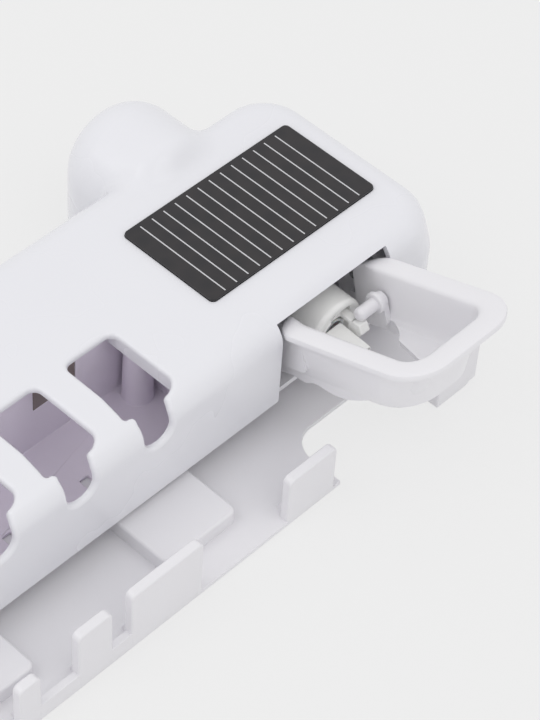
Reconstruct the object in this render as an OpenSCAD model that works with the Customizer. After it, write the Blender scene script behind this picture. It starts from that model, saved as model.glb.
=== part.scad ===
// Wall-mounted toothbrush holder with a push-lever toothpaste dispenser at its right end.
// It is drawn lying on its back: X runs to the right, Y up the wall, Z out of the wall.
// The origin is the centre of the wall plate's back face.

/* [Housing] */
// Length of the housing
body_l = 324; // [300:1:380]
// Height of the housing, hood left out
body_h = 95; // [90:1:110]
// Height of the flat front above the wall
front_z = 52; // [48:0.5:60]
// Height of the housing's open rear edge above the wall
rear_z = 11; // [10:0.5:13]
// Radius of the housing's corners seen from the front
corner_r = 20; // [14:0.5:26]
// Radius of the rounding between the front and the side walls
front_r = 11; // [6:0.5:13]
// Wall thickness of the housing
wall = 2.4; // [1.8:0.1:3]
// Thickness of the rear cover
cover_t = 2.2; // [1.6:0.1:3]
// Depth of the rear cover behind the housing's rear edge
cover_in = 0.6; // [0:0.1:1]
// Outer radius of the screw bosses
boss_r = 4; // [3:0.1:5]
// Radius of the cover screws' pilot bores
pilot_r = 1.2; // [0.8:0.05:1.4]

/* [Brush slots] */
// Number of toothbrush slots
slot_n = 5; // [2:1:5]
// Housing's left end to the middle of the leftmost slot
slot_end = 33.2; // [28:0.1:38]
// Middle of the rightmost slot to the housing's right end, where the dispenser is
slot_in = 146; // [140:0.5:152]
// Solid front between two mouths
slot_web = 14.2; // [12:0.2:17]
// Upper edge of the mouths
mouth_top = 13.3; // [8:0.1:14]
// Radius of the mouth's upper corners
mouth_r = 3.6; // [2:0.1:6]
// Level of the ledge where the mouth narrows to the neck
ledge_y = -18.4; // [-20:0.1:-15]
// Width of a slot's neck, as a share of the mouth's
neck_w_share = 0.59; // [0.4:0.005:0.64]
// Sideways shift of the neck against the mouth, as a share of the mouth's width
neck_shift_share = -0.127; // [-0.15:0.001:0.15]
// Height of the neck's round end above the wall
neck_z = 36.5; // [34:0.5:40]

/* [Hood] */
// Half the width of the hood over the toothpaste tube
hood_r = 24.6; // [20:0.1:28]
// Reach of the hood above the housing's top wall
hood_up = 31; // [24:0.5:45]
// Height of the hood's crown in front of the flat front
hood_proud = 7.5; // [3:0.5:12]
// Radius of the hood's upper rounding
hood_end_r = 17; // [10:0.5:20]
// Radius of the tube mouth at the hood's upper end
tube_mouth_r = 16; // [10:0.5:18]

/* [Dispenser] */
// Housing's right end to the middle of the dispenser
disp_in = 59.6; // [56:0.1:64]
// Width of the cut-out in the bottom wall
cut_w = 57; // [52:0.5:60]
// Share of the front rounding, in degrees, at which the cut-out begins
cut_angle = 42; // [30:1:60]
// Gap between the bowl's rim and each side of the cut-out
bowl_gap = 1; // [0.6:0.1:2]
// Forward lean of the push bowl at rest
bowl_tilt = 20.5; // [16:0.5:22]
// Reach of the bowl below the housing, along its rim
bowl_reach = 64.5; // [55:0.5:70]
// Depth of the bowl
bowl_depth = 22.2; // [18:0.1:24]
// Height of the bowl's rim where it leaves the housing
bowl_z = 46.6; // [44:0.2:47]
// Width of the bowl's rim at its sides
rim_w = 8.5; // [6:0.1:10]
// Thickness of the bowl's walls
bowl_wall = 2.2; // [1.6:0.1:3]
// Travel of the bowl towards the wall, in degrees
bowl_travel = 14; // [8:1:14]

/* [Solar panel] */
// Length of the solar panel
panel_l = 85; // [70:1:90]
// Width of the solar panel
panel_w = 46; // [36:1:50]
// Thickness of the solar panel
panel_t = 2.2; // [1.6:0.1:3]
// Depth of the panel's seat in the front
panel_seat = 1; // [0.4:0.1:1.2]

/* [Wall plate] */
// Housing's ends past the wall plate's, on each side
plate_in = 19; // [14:1:24]
// Height of the wall plate
plate_h = 125; // [118:1:126]
// Thickness of the wall plate
plate_t = 2; // [1.6:0.1:3]
// Distance from the plate's lower edge up to the housing
plate_drop = 36.4; // [34:0.2:40]
// Width of a magnet pad
pad_w = 35; // [30:0.5:40]
// Height of the magnet pads above the plate
pad_t = 6.5; // [5:0.1:7]
// Distance from the plate's lower edge to the pads
pad_low = 13; // [10:0.5:16]
// Middle of the right pad, as a share of the plate's length from its middle
pad_share = 0.041; // [0.03:0.001:0.06]
// Distance between the pads, as a share of the plate's length
pad_pitch_share = 0.334; // [0.3:0.002:0.36]
// Height of the low tabs above the wall
tab_low_z = 24; // [20:0.5:25]
// Height of the high tabs above the wall
tab_high_z = 28.5; // [25:0.5:30]
// Thickness of the tabs
tab_t = 4; // [3:0.1:5]
// Bore of the plate's wall screws
screw_bore = 4.5; // [3.5:0.1:5]

/* [Hidden] */

// Overrun of every cut past the faces that it opens
over = 1;
// Running clearance between loose pieces
fit_gap = 0.3;
// Clearance under which pieces count as seated
seat_gap = 0.2;

// Corners of the housing
body_y0 = -plate_h / 2 + plate_drop;
body_y1 = body_y0 + body_h;
body_cy = (body_y0 + body_y1) / 2;
inner_z = front_z - wall;

// Levels of the rear cover and the brush tray
cover_z0 = rear_z + cover_in;
cover_z1 = cover_z0 + cover_t;
tray_t = 1.5;
tray_z1 = cover_z1 + tray_t;
tray_wall_t = 2;
tray_wall_up = 3.1;
tray_wall_y = mouth_top + tray_wall_up;

// How far the hood's foot starts below the housing's upper side
hood_overlap = 5;

// Pivot of the push bowl, along its rim and below it
pivot_back = 16;
pivot_deep = 9;
pivot_y = body_y0 + pivot_back * cos(bowl_tilt) - pivot_deep * sin(bowl_tilt);
pivot_z = bowl_z - pivot_back * sin(bowl_tilt) - pivot_deep * cos(bowl_tilt);
pivot_r = 1.5;

// The bowl's outline
bowl_w = cut_w - 2 * bowl_gap;
bowl_r = 16;

// Row of slots, laid out over the housing's length
slot_x = body_l / 2 - slot_in;
slot_pitch = (body_l - slot_in - slot_end) / max(slot_n - 1, 1);
mouth_w = slot_pitch - slot_web;
neck_w = mouth_w * neck_w_share;
neck_shift = mouth_w * neck_shift_share;
disp_x = body_l / 2 - disp_in;
plate_l = body_l - 2 * plate_in;

function slot_mid(i) = slot_x - i * slot_pitch;

// Flat rectangle with round corners, centred
module rrect(w, h, r) {
    square([w - 2 * r, h], center = true);
    square([w, h - 2 * r], center = true);
    for (sx = [-1, 1], sy = [-1, 1])
        translate([sx * (w / 2 - r), sy * (h / 2 - r)])
            circle(r = r, $fn = 48);
}

// Half section of a box's rim: upright side, rounded into the flat front
module rim_section(z0, z1, rc, rf) {
    square([rc - rf, z1 - z0]);
    square([rc, z1 - z0 - rf]);
    translate([rc - rf, z1 - z0 - rf])
        circle(r = rf, $fn = 96);
}

// Half section trimmed to its own quarter, so that it can be turned or drawn out
module rim_quarter(z0, z1, rc, rf) {
    intersection() {
        rim_section(z0, z1, rc, rf);
        square([rc + over, z1 - z0 + over]);
    }
}

// Box with round corners whose front edge is rounded all the way round
module soft_box(l, h, z0, z1, rc, rf) {
    translate([0, 0, z0]) {
        translate([-l / 2 + rc, -h / 2 + rc, 0])
            cube([l - 2 * rc, h - 2 * rc, z1 - z0]);
        for (k = [0, 1]) {
            rotate([0, 0, 180 * k])
                translate([l / 2 - rc, h / 2 - rc, 0])
                    rotate_extrude(angle = 90, $fn = 96)
                        rim_quarter(z0, z1, rc, rf);
            rotate([0, 0, 180 * k])
                translate([-l / 2 + rc, h / 2 - rc, 0])
                    rotate([0, 0, 90])
                        rotate_extrude(angle = 90, $fn = 96)
                            rim_quarter(z0, z1, rc, rf);
            rotate([0, 0, 180 * k])
                translate([l / 2 - rc, h / 2 - rc, 0])
                    rotate([90, 0, 0])
                        linear_extrude(h - 2 * rc)
                            rim_quarter(z0, z1, rc, rf);
            rotate([0, 0, 180 * k + 90])
                translate([h / 2 - rc, l / 2 - rc, 0])
                    rotate([90, 0, 0])
                        linear_extrude(l - 2 * rc)
                            rim_quarter(z0, z1, rc, rf);
        }
    }
}

// Plan of the housing's inside, drawn in by a clearance
module inner_plan(gap) {
    translate([0, body_cy])
        rrect(body_l - 2 * wall - 2 * gap, body_h - 2 * wall - 2 * gap, corner_r - wall - gap);
}

// Hood over the toothpaste tube: a bar with rounded ends, turned above its axis and straight below it
hood_z = front_z + hood_proud - hood_r;
hood_y1 = body_y1 + hood_up;
hood_foot_share = 0.46;
hood_foot_r = hood_r * hood_foot_share;
hood_y0 = body_y1 - hood_overlap - hood_foot_r;

module hood_outline(inset) {
    r = hood_r - inset;
    e = hood_end_r - inset;
    f = hood_foot_r - inset;
    y0 = hood_y0 + inset;
    y1 = hood_y1 - inset;
    translate([-r, y0 + f])
        square([2 * r, y1 - e - y0 - f]);
    translate([-r + f, y0])
        square([2 * (r - f), f + over]);
    translate([-r + e, y1 - e - over])
        square([2 * (r - e), e + over]);
    for (s = [-1, 1]) {
        translate([s * (r - e), y1 - e])
            circle(r = e, $fn = 96);
        translate([s * (r - f), y0 + f])
            circle(r = f, $fn = 96);
    }
}

module hood_form(inset, z0) {
    translate([disp_x, 0, hood_z])
        rotate([-90, 0, 0])
            rotate([0, 0, 180])
                rotate_extrude(angle = 180, $fn = 96)
                    intersection() {
                        hood_outline(inset);
                        translate([0, hood_y0 - over])
                            square([hood_r + over, hood_y1 - hood_y0 + 2 * over]);
                    }
    translate([disp_x, 0, z0])
        linear_extrude(hood_z - z0)
            hood_outline(inset);
}

// One slot: a mouth through the flat front and a round-ended neck down the lower wall
module slot_cut(x) {
    mouth_h = mouth_top - ledge_y;
    translate([x, 0, front_z - front_r])
        linear_extrude(front_r + over) {
            translate([0, mouth_top - mouth_h / 2])
                rrect(mouth_w, mouth_h, mouth_r);
        }
    translate([x + neck_shift, ledge_y + mouth_r, 0])
        rotate([90, 0, 0])
            linear_extrude(ledge_y + mouth_r - body_y0 + over) {
                translate([0, neck_z + neck_w / 2])
                    circle(d = neck_w, $fn = 48);
                translate([-neck_w / 2, neck_z + neck_w / 2])
                    square([neck_w, front_z - neck_z]);
            }
}

// Cut-out for the push bowl, opened along a radial plane of the front rounding
module bowl_cut() {
    fy = body_y0 + front_r;
    fz = front_z - front_r;
    far_r = front_r + over;
    translate([disp_x - cut_w / 2, 0, 0])
        rotate([90, 0, 90])
            linear_extrude(cut_w)
                polygon([
                    [fy, fz],
                    [fy - far_r * sin(cut_angle), fz + far_r * cos(cut_angle)],
                    [body_y0 - over, fz + far_r * cos(cut_angle)],
                    [body_y0 - over, rear_z - over],
                    [fy, rear_z - over]
                ]);
}

// The control board lies between the plate's middle hook and the tube's socket
board_l = 46;
board_w = 26;
board_t = 1.6;
hook_mid_share = 0.494;
hook_mid = body_l * (hook_mid_share - 0.5);
socket_lip_r = 17;
board_cx = (hook_mid + disp_x - socket_lip_r) / 2;
board_cy = (tray_wall_y + tray_wall_t + body_y1 - wall) / 2;
stand_h = 5;
stand_r = 2.4;

// Places of the screw bosses and the depth of their bores
boss_in_x = 14;
boss_in_y = 14;
boss_low_y = 18;
boss_mid_off = 2;
boss_mid_y = 14;
boss_near_y = 14;
boss_bore = 8;
boss_spots = [
    [-body_l / 2 + boss_in_x, body_y1 - boss_in_y],
    [hook_mid + boss_mid_off, body_y1 - boss_mid_y],
    [body_l / 2 - boss_in_x, body_y1 - boss_in_y],
    [body_l / 2 - boss_in_x, body_y0 + boss_low_y],
    [disp_x - cut_w / 2 - boss_in_x, body_y0 + boss_near_y]
];

// Rib beside the last slot and the tray's posts
rib_t = 2;
rib_deep = 5;
rib_off = 0.3;
post_drop = 4;
post_top = inner_z - post_drop;
post_top_r = 5.3;
post_r = 5.9;
post_y = 8.9;
post_in_left = 7.5;
post_in_right = 9.35;

// Ends of the brush tray, which its posts stand by
tray_in = 5;
tray_gap = 27.85;
tray_x0 = -body_l / 2 + tray_in;
tray_x1 = disp_x - cut_w / 2 - tray_gap;
post_xs = [tray_x1 - post_in_right, tray_x0 + post_in_left];

// The panel's place on the front and its gasket
gasket_t = 0.4;
gasket_w = 4;
panel_gap = 0.2;
panel_r = 2;
panel_edge = 14.2;
panel_cx = body_l / 2 - panel_edge - panel_l / 2;
panel_cy = body_cy;
tube_mouth_drop = 3;

module front_shell() {
    color([0.9, 0.9, 0.93])
        difference() {
            union() {
                difference() {
                    union() {
                        translate([0, body_cy, 0])
                            soft_box(body_l, body_h, rear_z, front_z, corner_r, front_r);
                        hood_form(0, rear_z);
                    }
                    translate([0, body_cy, 0])
                        soft_box(body_l - 2 * wall, body_h - 2 * wall, rear_z - over, inner_z,
                            corner_r - wall, front_r - wall);
                    hood_form(wall, rear_z - over);
                }
                for (p = boss_spots)
                    translate([p[0], p[1], cover_z1])
                        cylinder(r = boss_r, h = inner_z - cover_z1 + wall / 2, $fn = 48);
                rib_x = slot_x + mouth_w / 2;
                translate([rib_x + rib_off, ledge_y, inner_z - rib_deep])
                    cube([rib_t, mouth_top + tray_wall_t - ledge_y, rib_deep + wall / 2]);
                for (x = post_xs)
                    translate([x, post_y, post_top])
                        cylinder(r = post_top_r, h = inner_z - post_top + wall / 2, $fn = 48);
            }
            for (i = [0 : slot_n - 1])
                slot_cut(slot_mid(i));
            bowl_cut();
            for (p = boss_spots)
                translate([p[0], p[1], cover_z1 - over])
                    cylinder(r = pilot_r, h = boss_bore + over, $fn = 32);
            translate([panel_cx, panel_cy, front_z - panel_seat])
                linear_extrude(panel_seat + over)
                    rrect(panel_l + 2 * panel_gap, panel_w + 2 * panel_gap, panel_r + panel_gap);
            translate([disp_x, hood_y1 + over, hood_z - tube_mouth_drop])
                rotate([90, 0, 0])
                    cylinder(r = tube_mouth_r, h = hood_end_r, $fn = 96);
        }
}

module solar_panel() {
    color([0.22, 0.21, 0.22])
        translate([panel_cx, panel_cy, front_z - panel_seat + gasket_t])
            linear_extrude(panel_t - gasket_t)
                rrect(panel_l, panel_w, panel_r);
}

module panel_gasket() {
    color([0.1, 0.1, 0.1])
        translate([panel_cx, panel_cy, front_z - panel_seat])
            linear_extrude(gasket_t)
                difference() {
                    rrect(panel_l - panel_gap, panel_w - panel_gap, panel_r);
                    square([panel_l - 2 * gasket_w, panel_w - 2 * gasket_w], center = true);
                }
}

// Places of the wall plate's hooks
hook_in = 44;
hook_in_right = 31;
hook_up = 14.6;
hook_xs = [-body_l / 2 + hook_in, hook_mid, body_l / 2 - hook_in_right];
hook_y = tray_wall_y + tray_wall_t + hook_up;
hook_neck_r = 2.4;
hook_head_r = 4.6;
hook_head_t = 1.6;
key_drop = 9;

// Ears of the bowl's hinge, on the rear cover
ear_off = 3.9;
ear_x = cut_w / 2 + ear_off;
ear_t = 4;
ear_w = 9;

module rear_cover() {
    color([0.86, 0.86, 0.9])
        difference() {
            union() {
                translate([0, 0, cover_z0])
                    linear_extrude(cover_t) {
                        inner_plan(fit_gap);
                        translate([disp_x, 0])
                            hood_outline(wall + fit_gap);
                    }
                for (sx = [-1, 1], sy = [-1, 1])
                    translate([board_cx + sx * (board_l / 2 - stand_r), board_cy + sy * (board_w / 2 - stand_r),
                            cover_z1 - over / 2])
                        cylinder(r = stand_r, h = stand_h + over / 2, $fn = 32);
                for (s = [-1, 1])
                    translate([disp_x + s * (ear_x + ear_t / 2) - ear_t / 2, pivot_y - ear_w / 2, cover_z1 - over / 2]) {
                        cube([ear_t, ear_w, pivot_z - cover_z1 + over / 2]);
                        translate([0, ear_w / 2, pivot_z - cover_z1 + over / 2])
                            rotate([0, 90, 0])
                                cylinder(d = ear_w, h = ear_t, $fn = 48);
                    }
            }
            for (x = hook_xs)
                translate([x, hook_y, cover_z0 - over])
                    linear_extrude(cover_t + 2 * over) {
                        circle(r = hook_neck_r + fit_gap, $fn = 48);
                        translate([-hook_neck_r - fit_gap, -key_drop])
                            square([2 * (hook_neck_r + fit_gap), key_drop]);
                        translate([0, -key_drop])
                            circle(r = hook_head_r + fit_gap, $fn = 48);
                    }
            for (p = boss_spots)
                translate([p[0], p[1], cover_z0 - over])
                    cylinder(r = pilot_r + fit_gap, h = cover_t + 2 * over, $fn = 32);
            for (p = boss_spots)
                translate([p[0], p[1], cover_z0 - over])
                    cylinder(r = screw_head_r + fit_gap, h = screw_head_t + over, $fn = 32);
            for (s = [-1, 1])
                translate([disp_x + s * (ear_x + ear_t / 2) - ear_t / 2 - over, pivot_y, pivot_z])
                    rotate([0, 90, 0])
                        cylinder(r = pivot_r, h = ear_t + 2 * over, $fn = 32);
        }
}

// Heads of the cover's screws
screw_head_r = 2.2;
screw_head_t = 1;

module cover_screws() {
    color([0.7, 0.7, 0.72])
        for (p = boss_spots)
            translate([p[0], p[1], cover_z0]) {
                cylinder(r = screw_head_r, h = screw_head_t, $fn = 32);
                cylinder(r = pilot_r, h = cover_t + boss_bore - over, $fn = 32);
            }
}

// Height of the brush tray's wall and size of its drain holes
tray_top = inner_z - fit_gap;
drain = [4, 6];
drain_up = 14;

// Windows of the lamps in the tray's wall, between the outer pairs of slots
window_w_share = 0.55;
window_shift_share = 0.15;
window = [slot_pitch * window_w_share, 12];
window_z = 34;
window_shift = slot_pitch * window_shift_share;
window_xs = [slot_mid(0.5) + window_shift, slot_mid(slot_n - 1.5) + window_shift];

module brush_tray() {
    color([0.8, 0.8, 0.85])
        difference() {
            union() {
                translate([0, 0, cover_z1])
                    linear_extrude(tray_t)
                        intersection() {
                            inner_plan(fit_gap);
                            translate([tray_x0, body_y0])
                                square([tray_x1 - tray_x0, tray_wall_y + tray_wall_t - body_y0]);
                        }
                translate([tray_x0, tray_wall_y, cover_z1])
                    cube([tray_x1 - tray_x0, tray_wall_t, tray_top - cover_z1]);
                translate([tray_x1 - tray_wall_t, body_y0 + front_r, cover_z1])
                    cube([tray_wall_t, tray_wall_y - body_y0 - front_r + tray_wall_t, tray_top - cover_z1]);
                for (x = post_xs)
                    translate([x, post_y, cover_z1])
                        cylinder(r1 = post_r, r2 = post_top_r, h = post_top - cover_z1, $fn = 64);
            }
            for (x = window_xs)
                translate([x - window[0] / 2, tray_wall_y - over, window_z])
                    cube([window[0], tray_wall_t + 2 * over, window[1]]);
            for (i = [0.5 : 1 : slot_n - 1])
                translate([slot_mid(i) - drain[0], body_y0 + drain_up, cover_z1 - over])
                    cube([drain[0], drain[1], tray_t + 2 * over]);
        }
}

// Clear covers of the windows, and the lamps behind them
lens_t = 0.9;
lens_gap = 0.1;

module lamp_windows() {
    color([0.75, 0.85, 0.95])
        for (x = window_xs)
            translate([x - window[0] / 2 + lens_gap, tray_wall_y + lens_gap, window_z])
                cube([window[0] - 2 * lens_gap, lens_t, window[1] - lens_gap]);
}

lamp_board_share = 0.8;
lamp_board = [slot_pitch * lamp_board_share, 1.2, 17];
diode = [3.5, 0.8, 3.5];

module lamp_boards() {
    color([0.1, 0.35, 0.2])
        for (x = window_xs)
            translate([x - lamp_board[0] / 2, tray_wall_y + tray_wall_t, window_z + window[1] / 2 - lamp_board[2] / 2])
                cube(lamp_board);
}

module lamp_diodes() {
    color([0.95, 0.8, 0.35])
        for (x = window_xs, s = [-1, 1])
            translate([x + s * window[0] / 4 - diode[0] / 2, tray_wall_y + tray_wall_t - diode[1],
                    window_z + window[1] / 2 - diode[2] / 2])
                cube(diode);
}

// Battery cell and its cradle
cell_r = 9.1;
cradle_t = 1.2;
cell_l = 65;
cell_off = 40;
cell_x = hook_mid - cell_off;
cell_y = board_cy;
cell_lift = 1.6;
cell_z = cover_z1 + cell_r + cell_lift;

module battery_cell() {
    color([0.2, 0.45, 0.75])
        translate([cell_x - cell_l / 2, cell_y, cell_z])
            rotate([0, 90, 0])
                cylinder(r = cell_r, h = cell_l, $fn = 64);
}

module battery_cradle() {
    color([0.86, 0.86, 0.9])
        difference() {
            union() {
                for (s = [-1, 1])
                    translate([cell_x + s * cell_l / 3 - wall, cell_y - cell_r - wall, cover_z1])
                        cube([2 * wall, 2 * (cell_r + wall), cell_z - cover_z1]);
                translate([cell_x - cell_l / 2, cell_y - cell_r / 2, cover_z1])
                    cube([cell_l, cell_r, cradle_t]);
            }
            translate([cell_x - cell_l / 2 - over, cell_y, cell_z])
                rotate([0, 90, 0])
                    cylinder(r = cell_r + seat_gap / 2, h = cell_l + 2 * over, $fn = 64);
        }
}

module control_board() {
    color([0.1, 0.35, 0.2])
        translate([board_cx - board_l / 2, board_cy - board_w / 2, cover_z1 + stand_h])
            cube([board_l, board_w, board_t]);
}

// Parts soldered on the control board
chip = [9, 7, 1.6];
plug_box = [8, 6, 5];
can_r = 3;
can_h = 7;
plug_in = 1.5;

module board_parts() {
    color([0.15, 0.15, 0.15])
        translate([board_cx, board_cy, cover_z1 + stand_h + board_t]) {
            translate([-chip[0] / 2, -chip[1] / 2, 0])
                cube(chip);
            for (s = [-1, 1])
                translate([s * (board_l / 2 - plug_box[0]) - plug_box[0] / 2, -board_w / 2 + plug_in, 0])
                    cube(plug_box);
            translate([board_l / 4, board_w / 4, 0])
                cylinder(r = can_r, h = can_h, $fn = 32);
        }
}

// Wall plate: corners, notch under the bowl, pads, tabs and curbs
plate_r = 6;
notch_share = 0.2413;
notch_up = 25.3;
notch_r = 11;
pad_top_y = 45;
pad_r = 3;
pad_edge_r = 1;
tab_round = 2.5;
gusset_t = 2;
gusset_deep = 5;
gusset_high = 12;
curb_z = 8;
curb_t = 3;
end_tab_share = 0.4056;
// Each tab: left and right edge as shares of the plate's length from its middle, and height of its top
tabs = [
    [0.1444, 0.2283, tab_low_z],
    [-0.1217, -0.0042, tab_high_z],
    [-0.2063, -0.1524, tab_high_z],
    [-0.2976, -0.2647, tab_low_z],
    [end_tab_share, 0.5, tab_low_z],
    [-0.5, -end_tab_share, tab_low_z]
];
// Each curb between tabs: left and right edge, as such shares
curbs = [[-0.2647, -0.2063], [-0.1524, -0.1217]];
hook_base_r = 5;
screw_in = 18;
screw_dx = plate_l / 2 - screw_in;
screw_y0 = 5;
screw_y1 = 45;
plate_y0 = -plate_h / 2;
notch_x0 = plate_l * notch_share;
notch_x1 = plate_l * end_tab_share;
pad_x = plate_l * pad_share;
pad_pitch = plate_l * pad_pitch_share;

// Tab standing on the plate's lower edge, with round upper corners and two gussets behind it
module plate_tab(x0, x1, top) {
    translate([0, plate_y0 + tab_t, 0])
        rotate([90, 0, 0])
            linear_extrude(tab_t) {
                translate([x0, 0])
                    square([x1 - x0, top - tab_round]);
                translate([x0 + tab_round, 0])
                    square([x1 - x0 - 2 * tab_round, top]);
                for (x = [x0 + tab_round, x1 - tab_round])
                    translate([x, top - tab_round])
                        circle(r = tab_round, $fn = 32);
            }
    for (x = [x0 + tab_round, x1 - tab_round - gusset_t])
        translate([x, plate_y0 + tab_t, plate_t])
            rotate([90, 0, 90])
                linear_extrude(gusset_t)
                    polygon([[-over / 2, -over / 2], [gusset_deep, -over / 2], [gusset_deep, 0],
                        [0, gusset_high], [-over / 2, gusset_high]]);
}

module wall_plate() {
    color([0.84, 0.84, 0.87])
        difference() {
            union() {
                linear_extrude(plate_t)
                    rrect(plate_l, plate_h, plate_r);
                for (i = [0, 1])
                    translate([pad_x - i * pad_pitch, (plate_y0 + pad_low + pad_top_y) / 2, 0])
                        soft_box(pad_w, pad_top_y - plate_y0 - pad_low, plate_t / 2, plate_t + pad_t, pad_r, pad_edge_r);
                for (t = tabs)
                    plate_tab(plate_l * t[0], plate_l * t[1], t[2]);
                for (c = curbs)
                    translate([plate_l * c[0] - over / 2, plate_y0, 0])
                        cube([plate_l * (c[1] - c[0]) + over, curb_t, curb_z]);
                for (x = hook_xs)
                    translate([x, hook_y, plate_t / 2]) {
                        cylinder(r = hook_base_r, h = cover_z0 - fit_gap - plate_t / 2, $fn = 48);
                        cylinder(r = hook_neck_r, h = cover_z1 + fit_gap + over / 2 - plate_t / 2, $fn = 48);
                        translate([0, 0, cover_z1 + fit_gap - plate_t / 2])
                            cylinder(r = hook_head_r, h = hook_head_t, $fn = 48);
                    }
            }
            translate([notch_x0, plate_y0 - over, -over])
                linear_extrude(plate_t + 2 * over) {
                    square([notch_x1 - notch_x0, notch_up + over - notch_r]);
                    translate([notch_r, 0])
                        square([notch_x1 - notch_x0 - notch_r, notch_up + over]);
                    translate([notch_r, notch_up + over - notch_r])
                        circle(r = notch_r, $fn = 64);
                }
            for (sx = [-1, 1], y = [screw_y0, screw_y1])
                translate([sx * screw_dx, y, -over])
                    cylinder(d = screw_bore, h = plate_t + 2 * over, $fn = 48);
            for (i = [0, 1], y = magnet_ys)
                translate([pad_x - i * pad_pitch, y, -over])
                    cylinder(r = magnet_r + seat_gap / 2, h = magnet_t + magnet_in + over, $fn = 64);
        }
}

// Magnets glued into the pads from behind
magnet_r = 10;
magnet_t = 3;
magnet_in = 0.6;
magnet_ys = [-34, 28];

module pad_magnets() {
    color([0.55, 0.55, 0.57])
        for (i = [0, 1], y = magnet_ys)
            translate([pad_x - i * pad_pitch, y, magnet_in])
                cylinder(r = magnet_r, h = magnet_t, $fn = 64);
}

// Pump axis and the pieces on it, from the tube's socket down to the nozzle
pump_z = 27.5;
pump_r = 13.5;
pump_y1 = -4;
pump_y0 = -27;
pump_bore = 6;
slot_wide = [-3.8, 6.6];
slot_high = [-2, 9.5];
slot_stop = 9;
pump_foot = 9;
ring_in = 2.4;
ring_deep = 2;
ring_wall = 1.6;
socket_y1 = 30;
socket_r = 13.5;
socket_lip_t = 3;
socket_bore = 10;
socket_floor = 8;
seal_t = 3;
seal_in = 5.2;
seal_groove = 0.6;
sleeve_r = 5;
sleeve_t = 1;
sleeve_in = 1.5;
sleeve_l = 20;

// Turns a half section about the pump's axis; its first figure is a radius, its second a place along Y
module on_pump_axis() {
    translate([disp_x, 0, pump_z])
        rotate([-90, 0, 0])
            rotate_extrude($fn = 96)
                children();
}

module tube_socket() {
    color([0.93, 0.93, 0.9])
        difference() {
            union() {
                on_pump_axis()
                    polygon([
                        [pump_bore, pump_y1],
                        [socket_r, pump_y1],
                        [socket_r, socket_y1 - 2 * socket_lip_t],
                        [socket_lip_r, socket_y1 - socket_lip_t],
                        [socket_lip_r, socket_y1],
                        [socket_lip_r - ring_in, socket_y1],
                        [socket_bore, socket_y1 - 2 * socket_lip_t],
                        [socket_bore, pump_y1 + socket_floor],
                        [pump_bore, pump_y1 + socket_floor]
                    ]);
                for (s = [-1, 1])
                    translate([disp_x + s * pump_foot - rib_t / 2, pump_y1, cover_z1])
                        cube([rib_t, socket_y1 - 2 * socket_lip_t - pump_y1, pump_z - cover_z1 - socket_bore + rib_t / 2]);
            }
            translate([disp_x - socket_lip_r - over, pump_y1 - over, cover_z1 - 2 * pump_r])
                cube([2 * (socket_lip_r + over), socket_y1 - pump_y1 + 2 * over, 2 * pump_r]);
        }
}

module tube_seal() {
    color([0.25, 0.25, 0.27])
        on_pump_axis()
            difference() {
                translate([seal_in, pump_y1 + socket_floor])
                    square([socket_bore - seal_in, seal_t]);
                translate([socket_bore, pump_y1 + socket_floor + seal_t / 2])
                    circle(r = seal_groove, $fn = 24);
            }
}

module pump_head() {
    color([0.93, 0.93, 0.9])
        difference() {
            union() {
                on_pump_axis()
                    translate([0, pump_y0])
                        square([pump_r, pump_y1 - pump_y0]);
                for (s = [-1, 1])
                    translate([disp_x + s * pump_foot - rib_t, pump_y0 + over, cover_z1])
                        cube([2 * rib_t, pump_y1 - pump_y0 - over, pump_z - pump_bore - cover_z1]);
            }
            on_pump_axis()
                translate([0, pump_y0 - over])
                    square([pump_bore, pump_y1 - pump_y0 + 2 * over]);
            on_pump_axis()
                translate([pump_bore + ring_wall, pump_y0 - over])
                    square([pump_r - ring_in - pump_bore - ring_wall, ring_deep + over]);
            translate([disp_x + slot_wide[0], pump_y0 - over, pump_z + slot_high[0]])
                cube([slot_wide[1] - slot_wide[0], pump_y1 - slot_stop - pump_y0 + over, slot_high[1] - slot_high[0]]);
        }
}

module pump_sleeve() {
    color([0.85, 0.85, 0.86])
        on_pump_axis()
            polygon([
                [sleeve_r - sleeve_t, pump_y0 + sleeve_in],
                [sleeve_r, pump_y0 + sleeve_in],
                [sleeve_r, pump_y0 + sleeve_in + sleeve_l - sleeve_t],
                [pump_bore, pump_y0 + sleeve_in + sleeve_l - sleeve_t],
                [pump_bore, pump_y0 + sleeve_in + sleeve_l],
                [sleeve_r - sleeve_t, pump_y0 + sleeve_in + sleeve_l]
            ]);
}

// Tongue that carries the paste from the pump down into the bowl
tongue_x0 = -6.4;
tongue_x1 = 1.3;
tongue_tip_x = -1.4;
tongue_l = 15;
tongue_top = 4.5;
tongue_root = -6.5;
tongue_tip = 1;
tongue_drop = 1;
tongue_bore = 1.1;
tongue_bore_z = 2.3;

module nozzle_tongue() {
    color([0.93, 0.93, 0.9])
        translate([disp_x, pump_y0, pump_z])
            difference() {
                intersection() {
                    translate([0, 0, tongue_root - over])
                        linear_extrude(tongue_top - tongue_root + 2 * over)
                            polygon([[tongue_x0, 0], [tongue_tip_x, -tongue_l], [tongue_x1, -tongue_l], [tongue_x1, 0]]);
                    translate([tongue_x0 - over, 0, 0])
                        rotate([90, 0, 90])
                            linear_extrude(tongue_x1 - tongue_x0 + 2 * over)
                                polygon([[0, tongue_root], [0, tongue_top], [-tongue_l, tongue_top - tongue_drop],
                                    [-tongue_l, tongue_tip]]);
                }
                translate([(tongue_x1 + tongue_tip_x) / 2, over, tongue_bore_z])
                    rotate([90, 0, 0])
                        cylinder(r = tongue_bore, h = tongue_l + 2 * over, $fn = 32);
            }
}

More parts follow.
